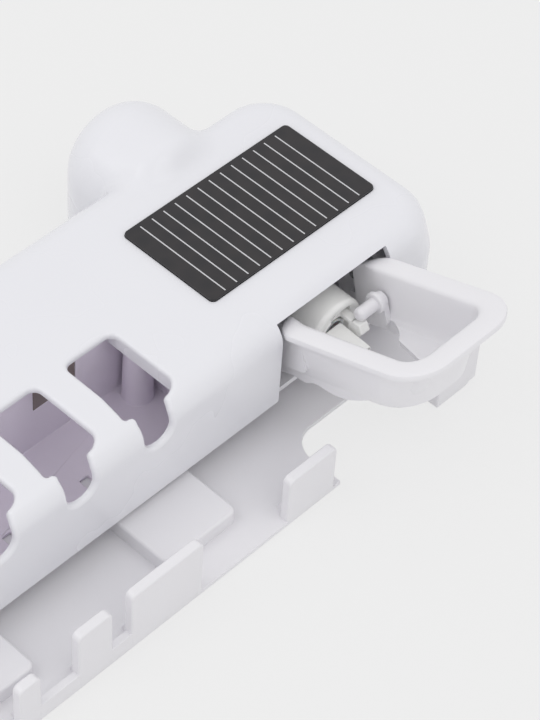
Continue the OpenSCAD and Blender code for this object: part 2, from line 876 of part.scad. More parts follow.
// Place of the drive pin in the bowl: out along its rim and below it
pin_out = 2.7;
pin_deep = 10.8;
pin_r = 2.5;
pin_x0 = 3.6;
pin_flange_in = 11.9;
pin_flange_x = bowl_w / 2 - pin_flange_in;
pin_flange_t = 1.2;
pin_flange_r = 3.9;
pin_back = 0.6;
pin_y = body_y0 - pin_out * cos(bowl_tilt) - pin_deep * sin(bowl_tilt);
pin_z = bowl_z + pin_out * sin(bowl_tilt) - pin_deep * cos(bowl_tilt);

// Slider that the drive pin pushes towards the wall: a hex head under the pin, with a blade into the pump
slider_x0 = 2.4;
slider_x1 = 6;
head_x1 = 7;
head_r = 3.6;
head_gap = 0.1;
blade = [-2.9, 6, 1.9];
blade_gap = 0.4;
blade_y1 = -14.5;
head_z = pin_z - pin_r - head_gap - head_r * cos(30);
blade_z = pump_z + sleeve_r + blade_gap;

module press_slider() {
    color([0.93, 0.93, 0.9]) {
        translate([disp_x + slider_x0, pin_y - pin_back, head_z])
            rotate([0, 90, 0])
                rotate([0, 0, 30])
                    cylinder(r = head_r, h = head_x1 - slider_x0, $fn = 6);
        translate([disp_x + slider_x0, pin_y - pin_back, blade_z])
            cube([slider_x1 - slider_x0, blade_y1 - pin_y + pin_back, blade[2]]);
        translate([disp_x + blade[0], pump_y0 + sleeve_in, blade_z])
            cube([blade[1] - blade[0], blade_y1 - pump_y0 - sleeve_in, blade[2]]);
    }
}

// Frame of the bowl: origin on the housing's lower side, rim top at zero, running out along -Y
module in_bowl() {
    translate([disp_x, body_y0, bowl_z])
        rotate([-bowl_tilt, 0, 0])
            children();
}

// Plan of the bowl, drawn in by an inset at its sides and another at its end, with its own corner radius
module bowl_plan(side, end, r, start) {
    w = bowl_w / 2 - side;
    translate([-w, -bowl_reach + end + r])
        square([2 * w, bowl_reach - end - r + start]);
    translate([-w + r, -bowl_reach + end])
        square([2 * (w - r), r + over]);
    for (s = [-1, 1])
        translate([s * (w - r), -bowl_reach + end + r])
            circle(r = r, $fn = 48);
}

// Levels of a form: share of its depth, insets at the sides and the end, corner radius
wall_levels = [
    [0.02, 2.8, 4.1, 17],
    [0.45, 3.3, 7, 17],
    [0.68, 3.6, 9.3, 17],
    [0.87, 4.1, 12.3, 16.5],
    [0.96, 5.2, 14.2, 16],
    [1, 7, 16.4, 15]
];
// The rim's outer side, over its own thickness; its back corners are round too
rim_levels = [[0, 1.6, 1.6, 14.5], [0.1, 0.8, 0.8, 15.2], [0.3, 0.2, 0.2, 15.8], [0.6, 0, 0, 16], [1, 0.3, 0.3, 15.7]];
rim_back_r = 9;
rim_back_out = 3.5;
// The inside, measured from the rim's inner edge; it is open upwards
inside_levels = [
    [-0.05, 0, 0, 7.5],
    [0.15, 0.2, 0.4, 7.3],
    [0.5, 0.9, 1.9, 6.6],
    [0.8, 1.8, 4.4, 5.8],
    [0.95, 3, 7.2, 4.6],
    [1, 4.6, 9.8, 3.4]
];
// Rounding of the rim's inner edge in two steps, measured from the edge and over the rim's thickness
edge_levels = [[0.7, 0, 0, 7.5], [0.25, -0.5, -0.5, 8], [-0.15, -1.7, -1.7, 9.2]];
rim_t = 2.4;
wall_back = 12;
rim_end = 2.1;
slice_t = 0.01;

// Hull over the rim's levels
module rim_loft() {
    hull()
        for (v = rim_levels)
            translate([0, 0, -v[0] * rim_t])
                linear_extrude(slice_t) {
                    bowl_plan(v[1], v[2], v[3], -rim_back_out);
                    for (s = [-1, 1])
                        translate([s * (bowl_w / 2 - rim_back_r), -rim_back_out])
                            circle(r = rim_back_r - v[1], $fn = 48);
                }
}

// Hull over some of the levels, each a thin slice at its depth
module bowl_loft(levels, deep, side, end, start) {
    hull()
        for (v = levels)
            translate([0, 0, -v[0] * deep])
                linear_extrude(slice_t)
                    bowl_plan(side + v[1], end + v[2], v[3], start);
}

floor_in = 10.5;
floor_tip_share = 0.558;
floor_r = bowl_w / 2 - floor_in;
floor_out = 2;
floor_high = 1;
floor_tip = bowl_reach * floor_tip_share;
floor_neck = 9;
floor_neck_out = 16.5;
tip_r = 1.8;
arm_side = 3.4;
arm_top = 2;
arm_low = 19;
arm_r = 4.4;
web_t = 6;
bulge_r = 3.4;
pivot_gap = 0.08;

module push_bowl() {
    color([0.84, 0.84, 0.88])
        difference() {
            in_bowl() {
                difference() {
                    union() {
                        bowl_loft(wall_levels, bowl_depth, 0, 0, wall_back);
                        rim_loft();
                    }
                    bowl_loft(inside_levels, bowl_depth - bowl_wall, rim_w, rim_w + rim_end, wall_back + over);
                    for (i = [0, 1])
                        bowl_loft([edge_levels[i], edge_levels[i + 1]], rim_t, rim_w, rim_w + rim_end, wall_back + over);
                    translate([0, 0, -bowl_depth - over])
                        linear_extrude(bowl_wall + floor_high + over) {
                            translate([0, -floor_out])
                                circle(r = floor_r, $fn = 96);
                            translate([-floor_r, -floor_out])
                                square([2 * floor_r, floor_out + wall_back + over]);
                            polygon([[-floor_neck, -floor_neck_out], [-tip_r, -floor_tip],
                                [tip_r, -floor_tip], [floor_neck, -floor_neck_out]]);
                            translate([0, -floor_tip])
                                circle(r = tip_r, $fn = 32);
                        }
                }
                for (s = [-1, 1])
                    translate([s * (bowl_w / 2 - arm_side - bowl_wall / 2) - bowl_wall / 2, -over, 0])
                        rotate([90, 0, 90])
                            linear_extrude(bowl_wall) {
                                polygon([[0, -arm_top], [wall_back, -arm_top],
                                    [pivot_back + over, -pivot_deep + arm_r], [pivot_back + over, -pivot_deep - arm_r],
                                    [wall_back, -arm_low], [0, -arm_low]]);
                                translate([pivot_back + over, -pivot_deep])
                                    circle(r = arm_r, $fn = 48);
                            }
                translate([pin_flange_x, -pin_out - web_t / 2, -pin_deep - web_t / 2])
                    cube([bowl_w / 2 - arm_side - bowl_wall / 2 - pin_flange_x, web_t, web_t]);
                translate([pin_flange_x, -pin_out, -pin_deep - web_t / 2])
                    rotate([0, 90, 0])
                        cylinder(r = bulge_r, h = bowl_w / 2 - arm_side - bowl_wall / 2 - pin_flange_x, $fn = 48);
            }
            translate([disp_x - bowl_w / 2, pivot_y, pivot_z])
                rotate([0, 90, 0])
                    cylinder(r = pivot_r + pivot_gap, h = bowl_w, $fn = 48);
            translate([disp_x + pin_flange_x - over, pin_y, pin_z])
                rotate([0, 90, 0])
                    cylinder(r = pin_r, h = web_t, $fn = 48);
        }
}

pin_end_r = 1;

module drive_pin() {
    pin_l = pin_flange_x + web_t - over - pin_x0;
    color([0.9, 0.9, 0.93])
        translate([disp_x, pin_y, pin_z])
            rotate([0, 90, 0]) {
                translate([0, 0, pin_x0])
                    rotate_extrude($fn = 64) {
                        square([pin_r - pin_end_r, pin_l]);
                        translate([0, pin_end_r])
                            square([pin_r, pin_l - pin_end_r]);
                        translate([pin_r - pin_end_r, pin_end_r])
                            circle(r = pin_end_r, $fn = 48);
                    }
                translate([0, 0, pin_flange_x - pin_flange_t])
                    cylinder(r = pin_flange_r, h = pin_flange_t, $fn = 48);
            }
}

// Stub pins of the bowl's hinge
hinge_head_r = 2.6;
hinge_head_t = 1;
hinge_past = 0.6;

module hinge_pins() {
    color([0.7, 0.7, 0.72])
        for (s = [-1, 1])
            translate([disp_x, pivot_y, pivot_z])
                rotate([0, s * 90, 0]) {
                    translate([0, 0, ear_x + ear_t])
                        cylinder(r = hinge_head_r, h = hinge_head_t, $fn = 32);
                    translate([0, 0, bowl_w / 2 - arm_side - bowl_wall - hinge_past])
                        cylinder(r = pivot_r, h = ear_x + ear_t + hinge_head_t / 2 - bowl_w / 2 + arm_side + bowl_wall + hinge_past, $fn = 32);
                }
}

// Return spring: wire wound round the left hinge pin, one leg on the cover's ear and one on the bowl's arm
wire_r = 0.4;
coil_r = 2.5;
coil_turns = 3;
coil_pitch = 1.5;
coil_rings = 8;
leg_l = 6;
spring_x = 1.6;
steps = coil_turns * coil_rings;
coil_points = [for (i = [0 : steps])
    [i * coil_pitch / coil_rings, coil_r * cos(i * 360 / coil_rings), coil_r * sin(i * 360 / coil_rings)]];
spring_path = concat(
    [[0, coil_r, -leg_l]],
    coil_points,
    [[coil_turns * coil_pitch, coil_r, leg_l]]
);
wire_sides = 6;

// Across vectors of the wire at each point, one pointing away from the coil's axis
function unit(v) = v / norm(v);
function run(i) = unit(spring_path[min(i + 1, len(spring_path) - 1)] - spring_path[max(i - 1, 0)]);
function side_of(i) = unit(cross(run(i), [1, 0, 0]));
function lift_of(i) = cross(side_of(i), run(i));
wire_points = [for (i = [0 : len(spring_path) - 1], k = [0 : wire_sides - 1])
    spring_path[i] + wire_r * (side_of(i) * cos(k * 360 / wire_sides) + lift_of(i) * sin(k * 360 / wire_sides))];
wire_faces = concat(
    [[for (k = [0 : wire_sides - 1]) k]],
    [for (i = [0 : len(spring_path) - 2], k = [0 : wire_sides - 1])
        [i * wire_sides + k, (i + 1) * wire_sides + k,
            (i + 1) * wire_sides + (k + 1) % wire_sides, i * wire_sides + (k + 1) % wire_sides]],
    [[for (k = [wire_sides - 1 : -1 : 0]) (len(spring_path) - 1) * wire_sides + k]]
);
coil_gap = min([for (i = [0 : steps - coil_rings]) norm(coil_points[i + coil_rings] - coil_points[i])]) - 2 * wire_r;
echo(coil_gap = coil_gap);

module return_spring() {
    color([0.6, 0.6, 0.62])
        translate([disp_x - ear_x + spring_x, pivot_y, pivot_z])
            polyhedron(points = wire_points, faces = wire_faces, convexity = 8);
}

front_shell();
rear_cover();
cover_screws();
brush_tray();
lamp_windows();
lamp_boards();
lamp_diodes();
solar_panel();
panel_gasket();
battery_cell();
battery_cradle();
control_board();
board_parts();
wall_plate();
pad_magnets();
tube_socket();
tube_seal();
pump_head();
pump_sleeve();
nozzle_tongue();
press_slider();
push_bowl();
drive_pin();
hinge_pins();
return_spring();
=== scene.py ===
import bpy
import bmesh
import numpy as np
from math import cos, pi, radians, sin, sqrt, tan
from mathutils import Matrix, Vector


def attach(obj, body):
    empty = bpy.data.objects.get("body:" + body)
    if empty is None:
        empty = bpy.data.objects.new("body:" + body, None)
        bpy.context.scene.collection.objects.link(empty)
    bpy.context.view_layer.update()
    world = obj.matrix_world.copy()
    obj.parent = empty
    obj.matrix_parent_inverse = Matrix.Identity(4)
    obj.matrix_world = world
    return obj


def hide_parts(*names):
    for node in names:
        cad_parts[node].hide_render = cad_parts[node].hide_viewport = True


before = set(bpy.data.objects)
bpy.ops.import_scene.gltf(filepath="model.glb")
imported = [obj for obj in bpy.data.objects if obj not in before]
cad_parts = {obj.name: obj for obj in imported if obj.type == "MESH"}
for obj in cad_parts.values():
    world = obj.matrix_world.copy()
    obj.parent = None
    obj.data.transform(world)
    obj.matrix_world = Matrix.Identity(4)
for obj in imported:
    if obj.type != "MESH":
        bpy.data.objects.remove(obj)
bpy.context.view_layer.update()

# Studio: a pale table under soft light from the left, and a camera at the photograph's place. The holder
# lies on its back, front up. Sizes are in millimetres, the places of the camera and the lamps in metres.

MM = 0.001
TABLE_HALF = 6000.0
TABLE_GREY = 0.8
# The table lies a little under the holder's back, so that the two faces don't meet.
TABLE_DROP = 0.2
# Grey of the background, and the share of it in what the camera sees of the table.
PAGE = 0.865
PAGE_GLOW = 0.8
# Each lamp: its place, its width and its watts.
LAMPS = {"key": ((-1.1, 0.4, 1.2), 1.2, 4), "front": ((0.2, -1.0, 1.6), 1.2, 3)}
LAMPS_AIM = (0.0, 0.0, 0.03)
CAMERA_AT = (-0.3984, -0.4262, 0.7210)
CAMERA_RIGHT = (0.6937, -0.7183, 0.0524)
CAMERA_UP = (0.5112, 0.5423, 0.6668)
FOCAL_PX = 2599.1
PHOTO_H = 720


def in_scene(name, data):
    """A new object in the scene, for a mesh, a lamp or a camera."""
    made = bpy.data.objects.new(name, data)
    bpy.context.collection.objects.link(made)
    return made


def add_node(tree, kind, settings, values):
    """Adds a node, its settings first and then its sockets' values or links, and gives its outputs.

    A socket goes by its name, or by i and its number where several have the same name."""
    made = tree.nodes.new(kind)
    for key, value in (settings or {}).items():
        setattr(made, key, value)
    for key, value in values.items():
        socket = made.inputs[int(key[1:])] if key[1:].isdigit() else made.inputs[key.replace("_", " ")]
        if isinstance(value, bpy.types.NodeSocket):
            tree.links.new(value, socket)
        else:
            socket.default_value = value
    return made.outputs


class Shade:
    """A socket of a shader tree, on which sums are written as plain Python."""

    def __init__(self, tree, socket):
        self.tree = tree
        self.socket = socket

    def node(self, kind, settings=None, out=0, **inputs):
        """Adds any other node to the tree from its settings and inputs, and gives one of its outputs."""
        values = {key: value.socket if isinstance(value, Shade) else value for key, value in inputs.items()}
        return Shade(self.tree, add_node(self.tree, kind, settings, values)[out])

    def maths(self, operation, other=0.0):
        return self.node("ShaderNodeMath", {"operation": operation}, i0=self, i1=other)

    def __add__(self, other):
        return self.maths("ADD", other)

    __radd__ = __add__

    def __sub__(self, other):
        return self.maths("SUBTRACT", other)

    def __rsub__(self, other):
        return self.node("ShaderNodeMath", {"operation": "SUBTRACT"}, i0=other, i1=self)

    def __mul__(self, other):
        return self.maths("MULTIPLY", other)

    __rmul__ = __mul__

    def over(self, low, high):
        """0 below low, 1 above high."""
        return self.node("ShaderNodeMapRange", Value=self, From_Min=low, From_Max=high)

    def between(self, first, second):
        """Mixes two colours by this value."""
        colours = {"i6": (*first, 1), "i7": (*second, 1)}
        return self.node("ShaderNodeMix", {"data_type": "RGBA"}, 2, i0=self, **colours)


def new_material(name, **fixed):
    """A Principled material whose fixed values go on its own sockets; also its shader and object space."""
    material = bpy.data.materials.new(name)
    material.use_nodes = True
    tree = material.node_tree
    shader = tree.nodes["Principled BSDF"]
    for key, value in fixed.items():
        shader.inputs[key.replace("_", " ")].default_value = value
    return material, shader, Shade(tree, tree.nodes.new("ShaderNodeTexCoord").outputs["Object"])


def mesh_piece(name, points, faces=(), edges=(), smooth=True):
    """A new object at the origin, from points in millimetres and the faces or edges between them."""
    mesh = bpy.data.meshes.new(name)
    mesh.from_pydata([tuple(c * MM for c in p) for p in points], list(edges), list(faces))
    mesh.update()
    for polygon in mesh.polygons:
        polygon.use_smooth = smooth
    return in_scene(name, mesh)


corners = [(x * TABLE_HALF, y * TABLE_HALF, -TABLE_DROP) for x, y in ((-1, -1), (1, -1), (1, 1), (-1, 1))]
table = mesh_piece("table", corners, [(0, 1, 2, 3)], smooth=False)
page, page_shader, _ = new_material("page", Base_Color=(*[TABLE_GREY] * 3, 1), Roughness=0.9)
table.data.materials.append(page)
tree = page.node_tree
path = tree.nodes.new("ShaderNodeLightPath").outputs
rays = Shade(tree, path["Is Camera Ray"])
for kind in ("Is Glossy Ray", "Is Transmission Ray"):
    rays = rays.maths("MAXIMUM", Shade(tree, path[kind]))
glow = rays.node("ShaderNodeEmission", Color=(PAGE, PAGE, PAGE, 1))
lit = rays.node("ShaderNodeMixShader", i0=rays * PAGE_GLOW, i1=Shade(tree, page_shader.outputs[0]), i2=glow)
# From below the table is clear, so that the holder's back can be seen.
below = Shade(tree, tree.nodes.new("ShaderNodeNewGeometry").outputs["Backfacing"])
open_below = below.node("ShaderNodeMixShader", i0=below, i1=lit, i2=below.node("ShaderNodeBsdfTransparent"))
tree.links.new(open_below.socket, tree.nodes["Material Output"].inputs["Surface"])

world = bpy.data.worlds.new("studio")
bpy.context.scene.world = world
world.use_nodes = True
sky = world.node_tree.nodes["Background"].inputs
sky["Color"].default_value = (PAGE, PAGE, PAGE, 1)
sky["Strength"].default_value = 1.0

for name, (at, width, watts) in LAMPS.items():
    lamp = bpy.data.lights.new(name, "AREA")
    lamp.shape = "SQUARE"
    lamp.size = width
    lamp.energy = watts
    hung = in_scene(name, lamp)
    hung.location = at
    hung.rotation_euler = (Vector(at) - Vector(LAMPS_AIM)).to_track_quat("Z", "Y").to_euler()

lens = bpy.data.cameras.new("camera")
lens.sensor_width = 36
lens.lens = FOCAL_PX / PHOTO_H * lens.sensor_width
lens.clip_start = 0.01
camera = in_scene("camera", lens)
right = Vector(CAMERA_RIGHT).normalized()
up = Vector(CAMERA_UP)
up = (up - right * up.dot(right)).normalized()
turn = Matrix((right, up, right.cross(up))).transposed().to_4x4()
camera.matrix_world = Matrix.Translation(CAMERA_AT) @ turn
bpy.context.scene.camera = camera
bpy.context.scene.view_settings.view_transform = "Standard"

# Wall plate: the part that is screwed or glued to the wall and carries the rest, moulded in white satin
# plastic. Its blank has a notch under the bowl; two raised pads, six tabs for cups, low curbs and three
# hooks stand on it.

PLATE_WHITE = (0.81, 0.80, 0.83)
PLATE_HALF_W = 143.0
PLATE_HALF_H = 62.5
PLATE_R = 6.0
PLATE_T = 2.0
PLATE_EDGE = 0.35
NOTCH_X = (69.0, 121.4)
NOTCH_TOP = -37.2
NOTCH_R = 11.0
PADS_X = [(-5.77, 29.23), (-101.29, -66.29)]
PADS_Y = (-49.5, 45.0)
PAD_FROM = 0.4
PAD_TOP = 8.5
PAD_R = 3.0
PAD_EDGE = 1.1
# Each tab: left and right edge, top, radius of its upper left corner.
TABS = [(41.3, 65.3, 24.0, 2.5), (-34.8, -1.2, 28.5, 2.5), (-59.0, -43.6, 28.5, 2.5),
    (-85.1, -75.7, 24.0, 2.5), (121.4, 143.0, 24.0, 7.0), (-143.0, -116.0, 24.0, 2.5)]
TAB_T = 4.0
TAB_R = 2.5
TAB_EDGE = 0.8
# Outline of the gussets behind a tab: y from inside the tab, and z.
GUSSET = [(0.0, 1.0), (5.0, 1.0), (5.0, 2.0), (0.0, 12.0)]
GUSSET_LAP = 1.0
GUSSET_T = 2.0
CURBS = [(-75.7, -59.0), (-43.6, -34.8)]
CURB_LAP = 0.8
CURB_T = 3.0
CURB_TOP = 8.0
CURB_EDGE = 0.5
HOOKS = [(-118.0, 33.0), (-1.94, 33.0), (131.0, 33.0)]
# Foot, neck and head of a hook: radius, lower and upper level, rounding of the ends.
HOOK_STEPS = [(5.0, 1.0, 11.3, 0.3), (2.4, 11.0, 14.6, 0.0), (4.6, 14.1, 15.7, 0.3)]
WALL_SCREWS = [(x, y) for x in (-125, 125) for y in (5, 45)]
WALL_SCREW_R = 2.25
MAGNETS = [(x, y) for x in (11.73, -83.79) for y in (-34, 28)]
MAGNET_SEAT_R = 10.1
MAGNET_SEAT_TOP = 3.6
# How far a cut goes past the faces that it opens.
OVERRUN = 2.0


def feed(shader, **sockets):
    """Links what changes over the surface to the shader's sockets."""
    for key, value in sockets.items():
        value.tree.links.new(value.socket, shader.inputs[key.replace("_", " ")])


def noise(place, scale, detail=3.0):
    return place.node("ShaderNodeTexNoise", Vector=place, Scale=scale, Detail=detail)


def bump(height, distance, strength):
    return height.node("ShaderNodeBump", Height=height, Distance=distance, Strength=strength)


def plastic(name, colour, rough, grain, coat):
    """Moulded plastic: a faint mottling in its colour and gloss, and a very fine unevenness."""
    material, shader, place = new_material(name, Base_Color=(*colour, 1), Roughness=rough, Coat_Weight=coat,
        Coat_Roughness=0.15, IOR=1.49)
    cloudy = noise(place, 14.0)
    fine = noise(place, 900.0, 2.0)
    deeper = tuple(c * 0.965 for c in colour)
    feed(shader, Base_Color=cloudy.between(colour, deeper), Roughness=cloudy * 0.08 + (rough - 0.04),
        Normal=bump(fine, grain * MM, 0.25))
    return material


def plain_mesh(piece):
    """The piece with its modifiers worked into its mesh."""
    graph = bpy.context.evaluated_depsgraph_get()
    made = bpy.data.meshes.new_from_object(piece.evaluated_get(graph))
    piece.modifiers.clear()
    old = piece.data
    piece.data = made
    bpy.data.meshes.remove(old)
    return piece


def even_shading(piece, angle=40.0):
    """Smooth shading that keeps flat faces flat and breaks at sharp edges."""
    form = bmesh.new()
    form.from_mesh(piece.data)
    bmesh.ops.dissolve_limit(form, angle_limit=radians(0.2), verts=form.verts, edges=form.edges)
    form.to_mesh(piece.data)
    form.free()
    for polygon in piece.data.polygons:
        polygon.use_smooth = True
    piece.data.set_sharp_from_angle(angle=radians(angle))
    weigh = piece.modifiers.new("weigh", "WEIGHTED_NORMAL")
    weigh.keep_sharp = True
    weigh.weight = 80
    return plain_mesh(piece)


def finish(piece, material, body, slot, *nodes):
    """Gives a made piece its material and its body, and hides the nodes it stands for; its finish, slot, is
    not used.
    """
    piece.data.materials.clear()
    piece.data.materials.append(material)
    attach(piece, body)
    if nodes:
        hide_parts(*nodes)


def rounded(corners, arc_step=0.7):
    """A closed outline from corners (x, y, radius), each turned with an arc."""
    out = []
    count = len(corners)
    for k, (x, y, r) in enumerate(corners):
        here = Vector((x, y))
        if r == 0:
            out.append(here)
            continue
        to = [(Vector(corners[(k + d) % count][:2]) - here).normalized() for d in (-1, 1)]
        half = to[0].angle(to[1]) / 2
        middle = here + (to[0] + to[1]).normalized() * r / sin(half)
        start = here + to[0] * r / tan(half) - middle
        sweep = pi - 2 * half
        turn = 1 if to[0].x * to[1].y - to[0].y * to[1].x < 0 else -1
        steps = max(2, int(sweep * r / arc_step) + 1)
        for j in range(steps + 1):
            out.append(middle + Matrix.Rotation(turn * sweep * j / steps, 2) @ start)
    return out


def box_line(w, h, r, middle):
    """Outline of a rectangle with round corners."""
    x, y = w / 2, h / 2
    return [p + Vector(middle) for p in rounded([(-x, y, r), (x, y, r), (x, -y, r), (-x, -y, r)], 0.4)]


def circle_line(r, middle, steps=96):
    turns = [2 * pi * k / steps for k in range(steps)]
    return [Vector((middle[0] + r * cos(a), middle[1] + r * sin(a))) for a in turns]


def joined(name, pieces):
    """Several pieces as one, with outward faces."""
    form = bmesh.new()
    for piece in pieces:
        form.from_mesh(piece.data)
    mesh = bpy.data.meshes.new(name)
    bmesh.ops.recalc_face_normals(form, faces=form.faces)
    form.to_mesh(mesh)
    form.free()
    for piece in pieces:
        bpy.data.objects.remove(piece)
    return in_scene(name, mesh)


def lofted(name, points, count, ring=False):
    """A closed form from loops of count points: its end loops are filled, or joined to each other."""
    layers = len(points) // count
    faces = [(r * count + k, r * count + (k + 1) % count, (r + 1) % layers * count + (k + 1) % count,
        (r + 1) % layers * count + k) for r in range(layers if ring else layers - 1) for k in range(count)]
    if not ring:
        faces += [tuple(reversed(range(count))), tuple(range((layers - 1) * count, layers * count))]
    return joined(name, [mesh_piece(name, points, faces)])


def along_z(x, y, z):
    """The place of a point of an outline that is drawn in x and y, at one of its two levels."""
    return x, y, z


def along_y(x, z, y):
    return x, y, z


def along_x(y, z, x):
    return x, y, z


def prism(name, outline, low, high, lift=along_z, edge=0.0, steps=2):
    """A closed block over an outline, between two levels, with its end edges rounded."""
    made = lofted(name, [lift(a, b, level) for level in (low, high) for a, b in outline], len(outline))
    if edge:
        soft = made.modifiers.new("edge", "BEVEL")
        soft.width = edge * MM
        soft.segments = steps
        soft.limit_method = "ANGLE"
        soft.angle_limit = radians(50)
        soft.use_clamp_overlap = False
        plain_mesh(made)
    return made


def carve(piece, tool, how="DIFFERENCE"):
    """Takes the tool's form out of the piece, or joins it on."""
    cut = piece.modifiers.new("cut", "BOOLEAN")
    cut.operation = how
    cut.solver = "MANIFOLD"
    cut.object = tool
    plain_mesh(piece)
    bpy.data.objects.remove(tool)


blank = rounded([(-PLATE_HALF_W, PLATE_HALF_H, PLATE_R), (PLATE_HALF_W, PLATE_HALF_H, PLATE_R),
    (PLATE_HALF_W, -PLATE_HALF_H, PLATE_R), (NOTCH_X[1], -PLATE_HALF_H, 0), (NOTCH_X[1], NOTCH_TOP, 0),
    (NOTCH_X[0], NOTCH_TOP, NOTCH_R), (NOTCH_X[0], -PLATE_HALF_H, 0),
    (-PLATE_HALF_W, -PLATE_HALF_H, PLATE_R)])
plate = prism("white_wall_plate", blank, 0, PLATE_T, edge=PLATE_EDGE)
for x0, x1 in PADS_X:
    middle = ((x0 + x1) / 2, (PADS_Y[0] + PADS_Y[1]) / 2)
    pad = box_line(x1 - x0, PADS_Y[1] - PADS_Y[0], PAD_R, middle)
    carve(plate, prism("pad", pad, PAD_FROM, PAD_TOP, edge=PAD_EDGE, steps=4), "UNION")
for x0, x1, top, first_r in TABS:
    tab = rounded([(x0, top, first_r), (x1, top, TAB_R), (x1, PLATE_T / 2, 0), (x0, PLATE_T / 2, 0)], 0.4)
    carve(plate, prism("tab", tab, -PLATE_HALF_H, -PLATE_HALF_H + TAB_T, along_y, TAB_EDGE, 3), "UNION")
    gusset = [(y - PLATE_HALF_H + TAB_T - GUSSET_LAP, z) for y, z in GUSSET]
    for x in (x0 + TAB_R, x1 - TAB_R - GUSSET_T):
        carve(plate, prism("gusset", gusset, x, x + GUSSET_T, along_x), "UNION")
for x0, x1 in CURBS:
    left, right = x0 - CURB_LAP, x1 + CURB_LAP
    curb = [(left, CURB_TOP), (right, CURB_TOP), (right, PLATE_T / 2), (left, PLATE_T / 2)]
    carve(plate, prism("curb", curb, -PLATE_HALF_H, -PLATE_HALF_H + CURB_T, along_y, CURB_EDGE), "UNION")
for spot in HOOKS:
    for r, low, high, edge in HOOK_STEPS:
        carve(plate, prism("hook", circle_line(r, spot, 48), low, high, edge=edge), "UNION")
holes = [prism("hole", circle_line(WALL_SCREW_R, spot, 48), -OVERRUN, PLATE_T + OVERRUN)
    for spot in WALL_SCREWS]
seats = [prism("seat", circle_line(MAGNET_SEAT_R, spot), -OVERRUN, MAGNET_SEAT_TOP) for spot in MAGNETS]
carve(plate, joined("holes", holes + seats))
satin_white = plastic("satin_white", PLATE_WHITE, rough=0.36, grain=0.05, coat=0.08)
finish(even_shading(plate, 38), satin_white, "mount", "plate", "wall_plate")

# Magnets: four nickel-plated discs, two behind each pad, which hold what is set against the pad. They are
# pressed and glued into round seats from behind.


def dress(material, *nodes):
    """Puts a material on CAD nodes."""
    for node in nodes:
        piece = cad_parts[node]
        piece.data.materials.clear()
        piece.data.materials.append(material)


nickel, nickel_shader, place = new_material("nickel", Metallic=1.0, Base_Color=(0.55, 0.54, 0.52, 1),
    Roughness=0.28)
feed(nickel_shader, Roughness=noise(place, 60.0) * 0.25 + 0.16,
    Normal=bump(noise(place, 700.0), 0.02 * MM, 0.3))
dress(nickel, "pad_magnets")

# Rear cover: a flat white moulding that closes the housing from behind, with keyholes for the plate's
# hooks, stands for the control board and ears for the bowl's hinge. The battery's cradle is of the same
# plain plastic.

REAR_WHITE = (0.78, 0.77, 0.80)

rear_white = plastic("rear_white", REAR_WHITE, rough=0.42, grain=0.05, coat=0.0)
dress(rear_white, "rear_cover", "battery_cradle")

# Cover screws: five cross-head screws with flat heads, zinc plated, each sunk in the cover's back. One is
# turned and its cross is cut, and Geometry Nodes set it on the five places.

SCREW_SPOTS = [(-148, 54.9), (0.06, 54.9), (148, 54.9), (148, -8.1), (59.9, -12.1)]
SCREW_BACK = 11.6
# Radius and height of each corner, from the head's face to the tip.
SCREW_LINE = [(0, 0), (1.85, 0), (2.15, 0.25), (2.15, 0.45), (1.15, 0.95), (1.15, 8.2), (0.69, 9.2),
    (0, 9.2)]
CROSS_L = 2.6
CROSS_W = 0.55
CROSS_DEEP = 0.6
# Faces of a box over its eight corners.
BOX_FACES = [(0, 1, 3, 2), (4, 6, 7, 5), (0, 4, 5, 1), (2, 3, 7, 6), (0, 2, 6, 4), (1, 5, 7, 3)]


class Growth:
    """A Geometry Nodes tree with named sizes, written as plain calls."""

    def __init__(self, name, **sizes):
        self.tree = bpy.data.node_groups.new(name, "GeometryNodeTree")
        self.tree.interface.new_socket("Geometry", in_out="INPUT", socket_type="NodeSocketGeometry")
        for key, value in sizes.items():
            kind = {int: "NodeSocketInt", tuple: "NodeSocketVector"}.get(type(value), "NodeSocketFloat")
            self.tree.interface.new_socket(key, in_out="INPUT", socket_type=kind)
        self.tree.interface.new_socket("Geometry", in_out="OUTPUT", socket_type="NodeSocketGeometry")
        self.given = self.tree.nodes.new("NodeGroupInput").outputs
        self.sizes = sizes

    def node(self, kind, settings=None, out=0, **inputs):
        return add_node(self.tree, kind, settings, inputs)[out]

    def grow(self, piece, result, material):
        """Ends the tree in real faces of one material and works it into the piece's mesh."""
        real = self.node("GeometryNodeRealizeInstances", Geometry=result)
        dressed = self.node("GeometryNodeSetMaterial", Geometry=real, Material=material)
        self.tree.links.new(dressed, self.tree.nodes.new("NodeGroupOutput").inputs[0])
        grower = piece.modifiers.new("grow", "NODES")
        grower.node_group = self.tree
        for socket in self.tree.interface.items_tree:
            if socket.name in self.sizes:
                grower[socket.identifier] = self.sizes[socket.name]
        return plain_mesh(piece)


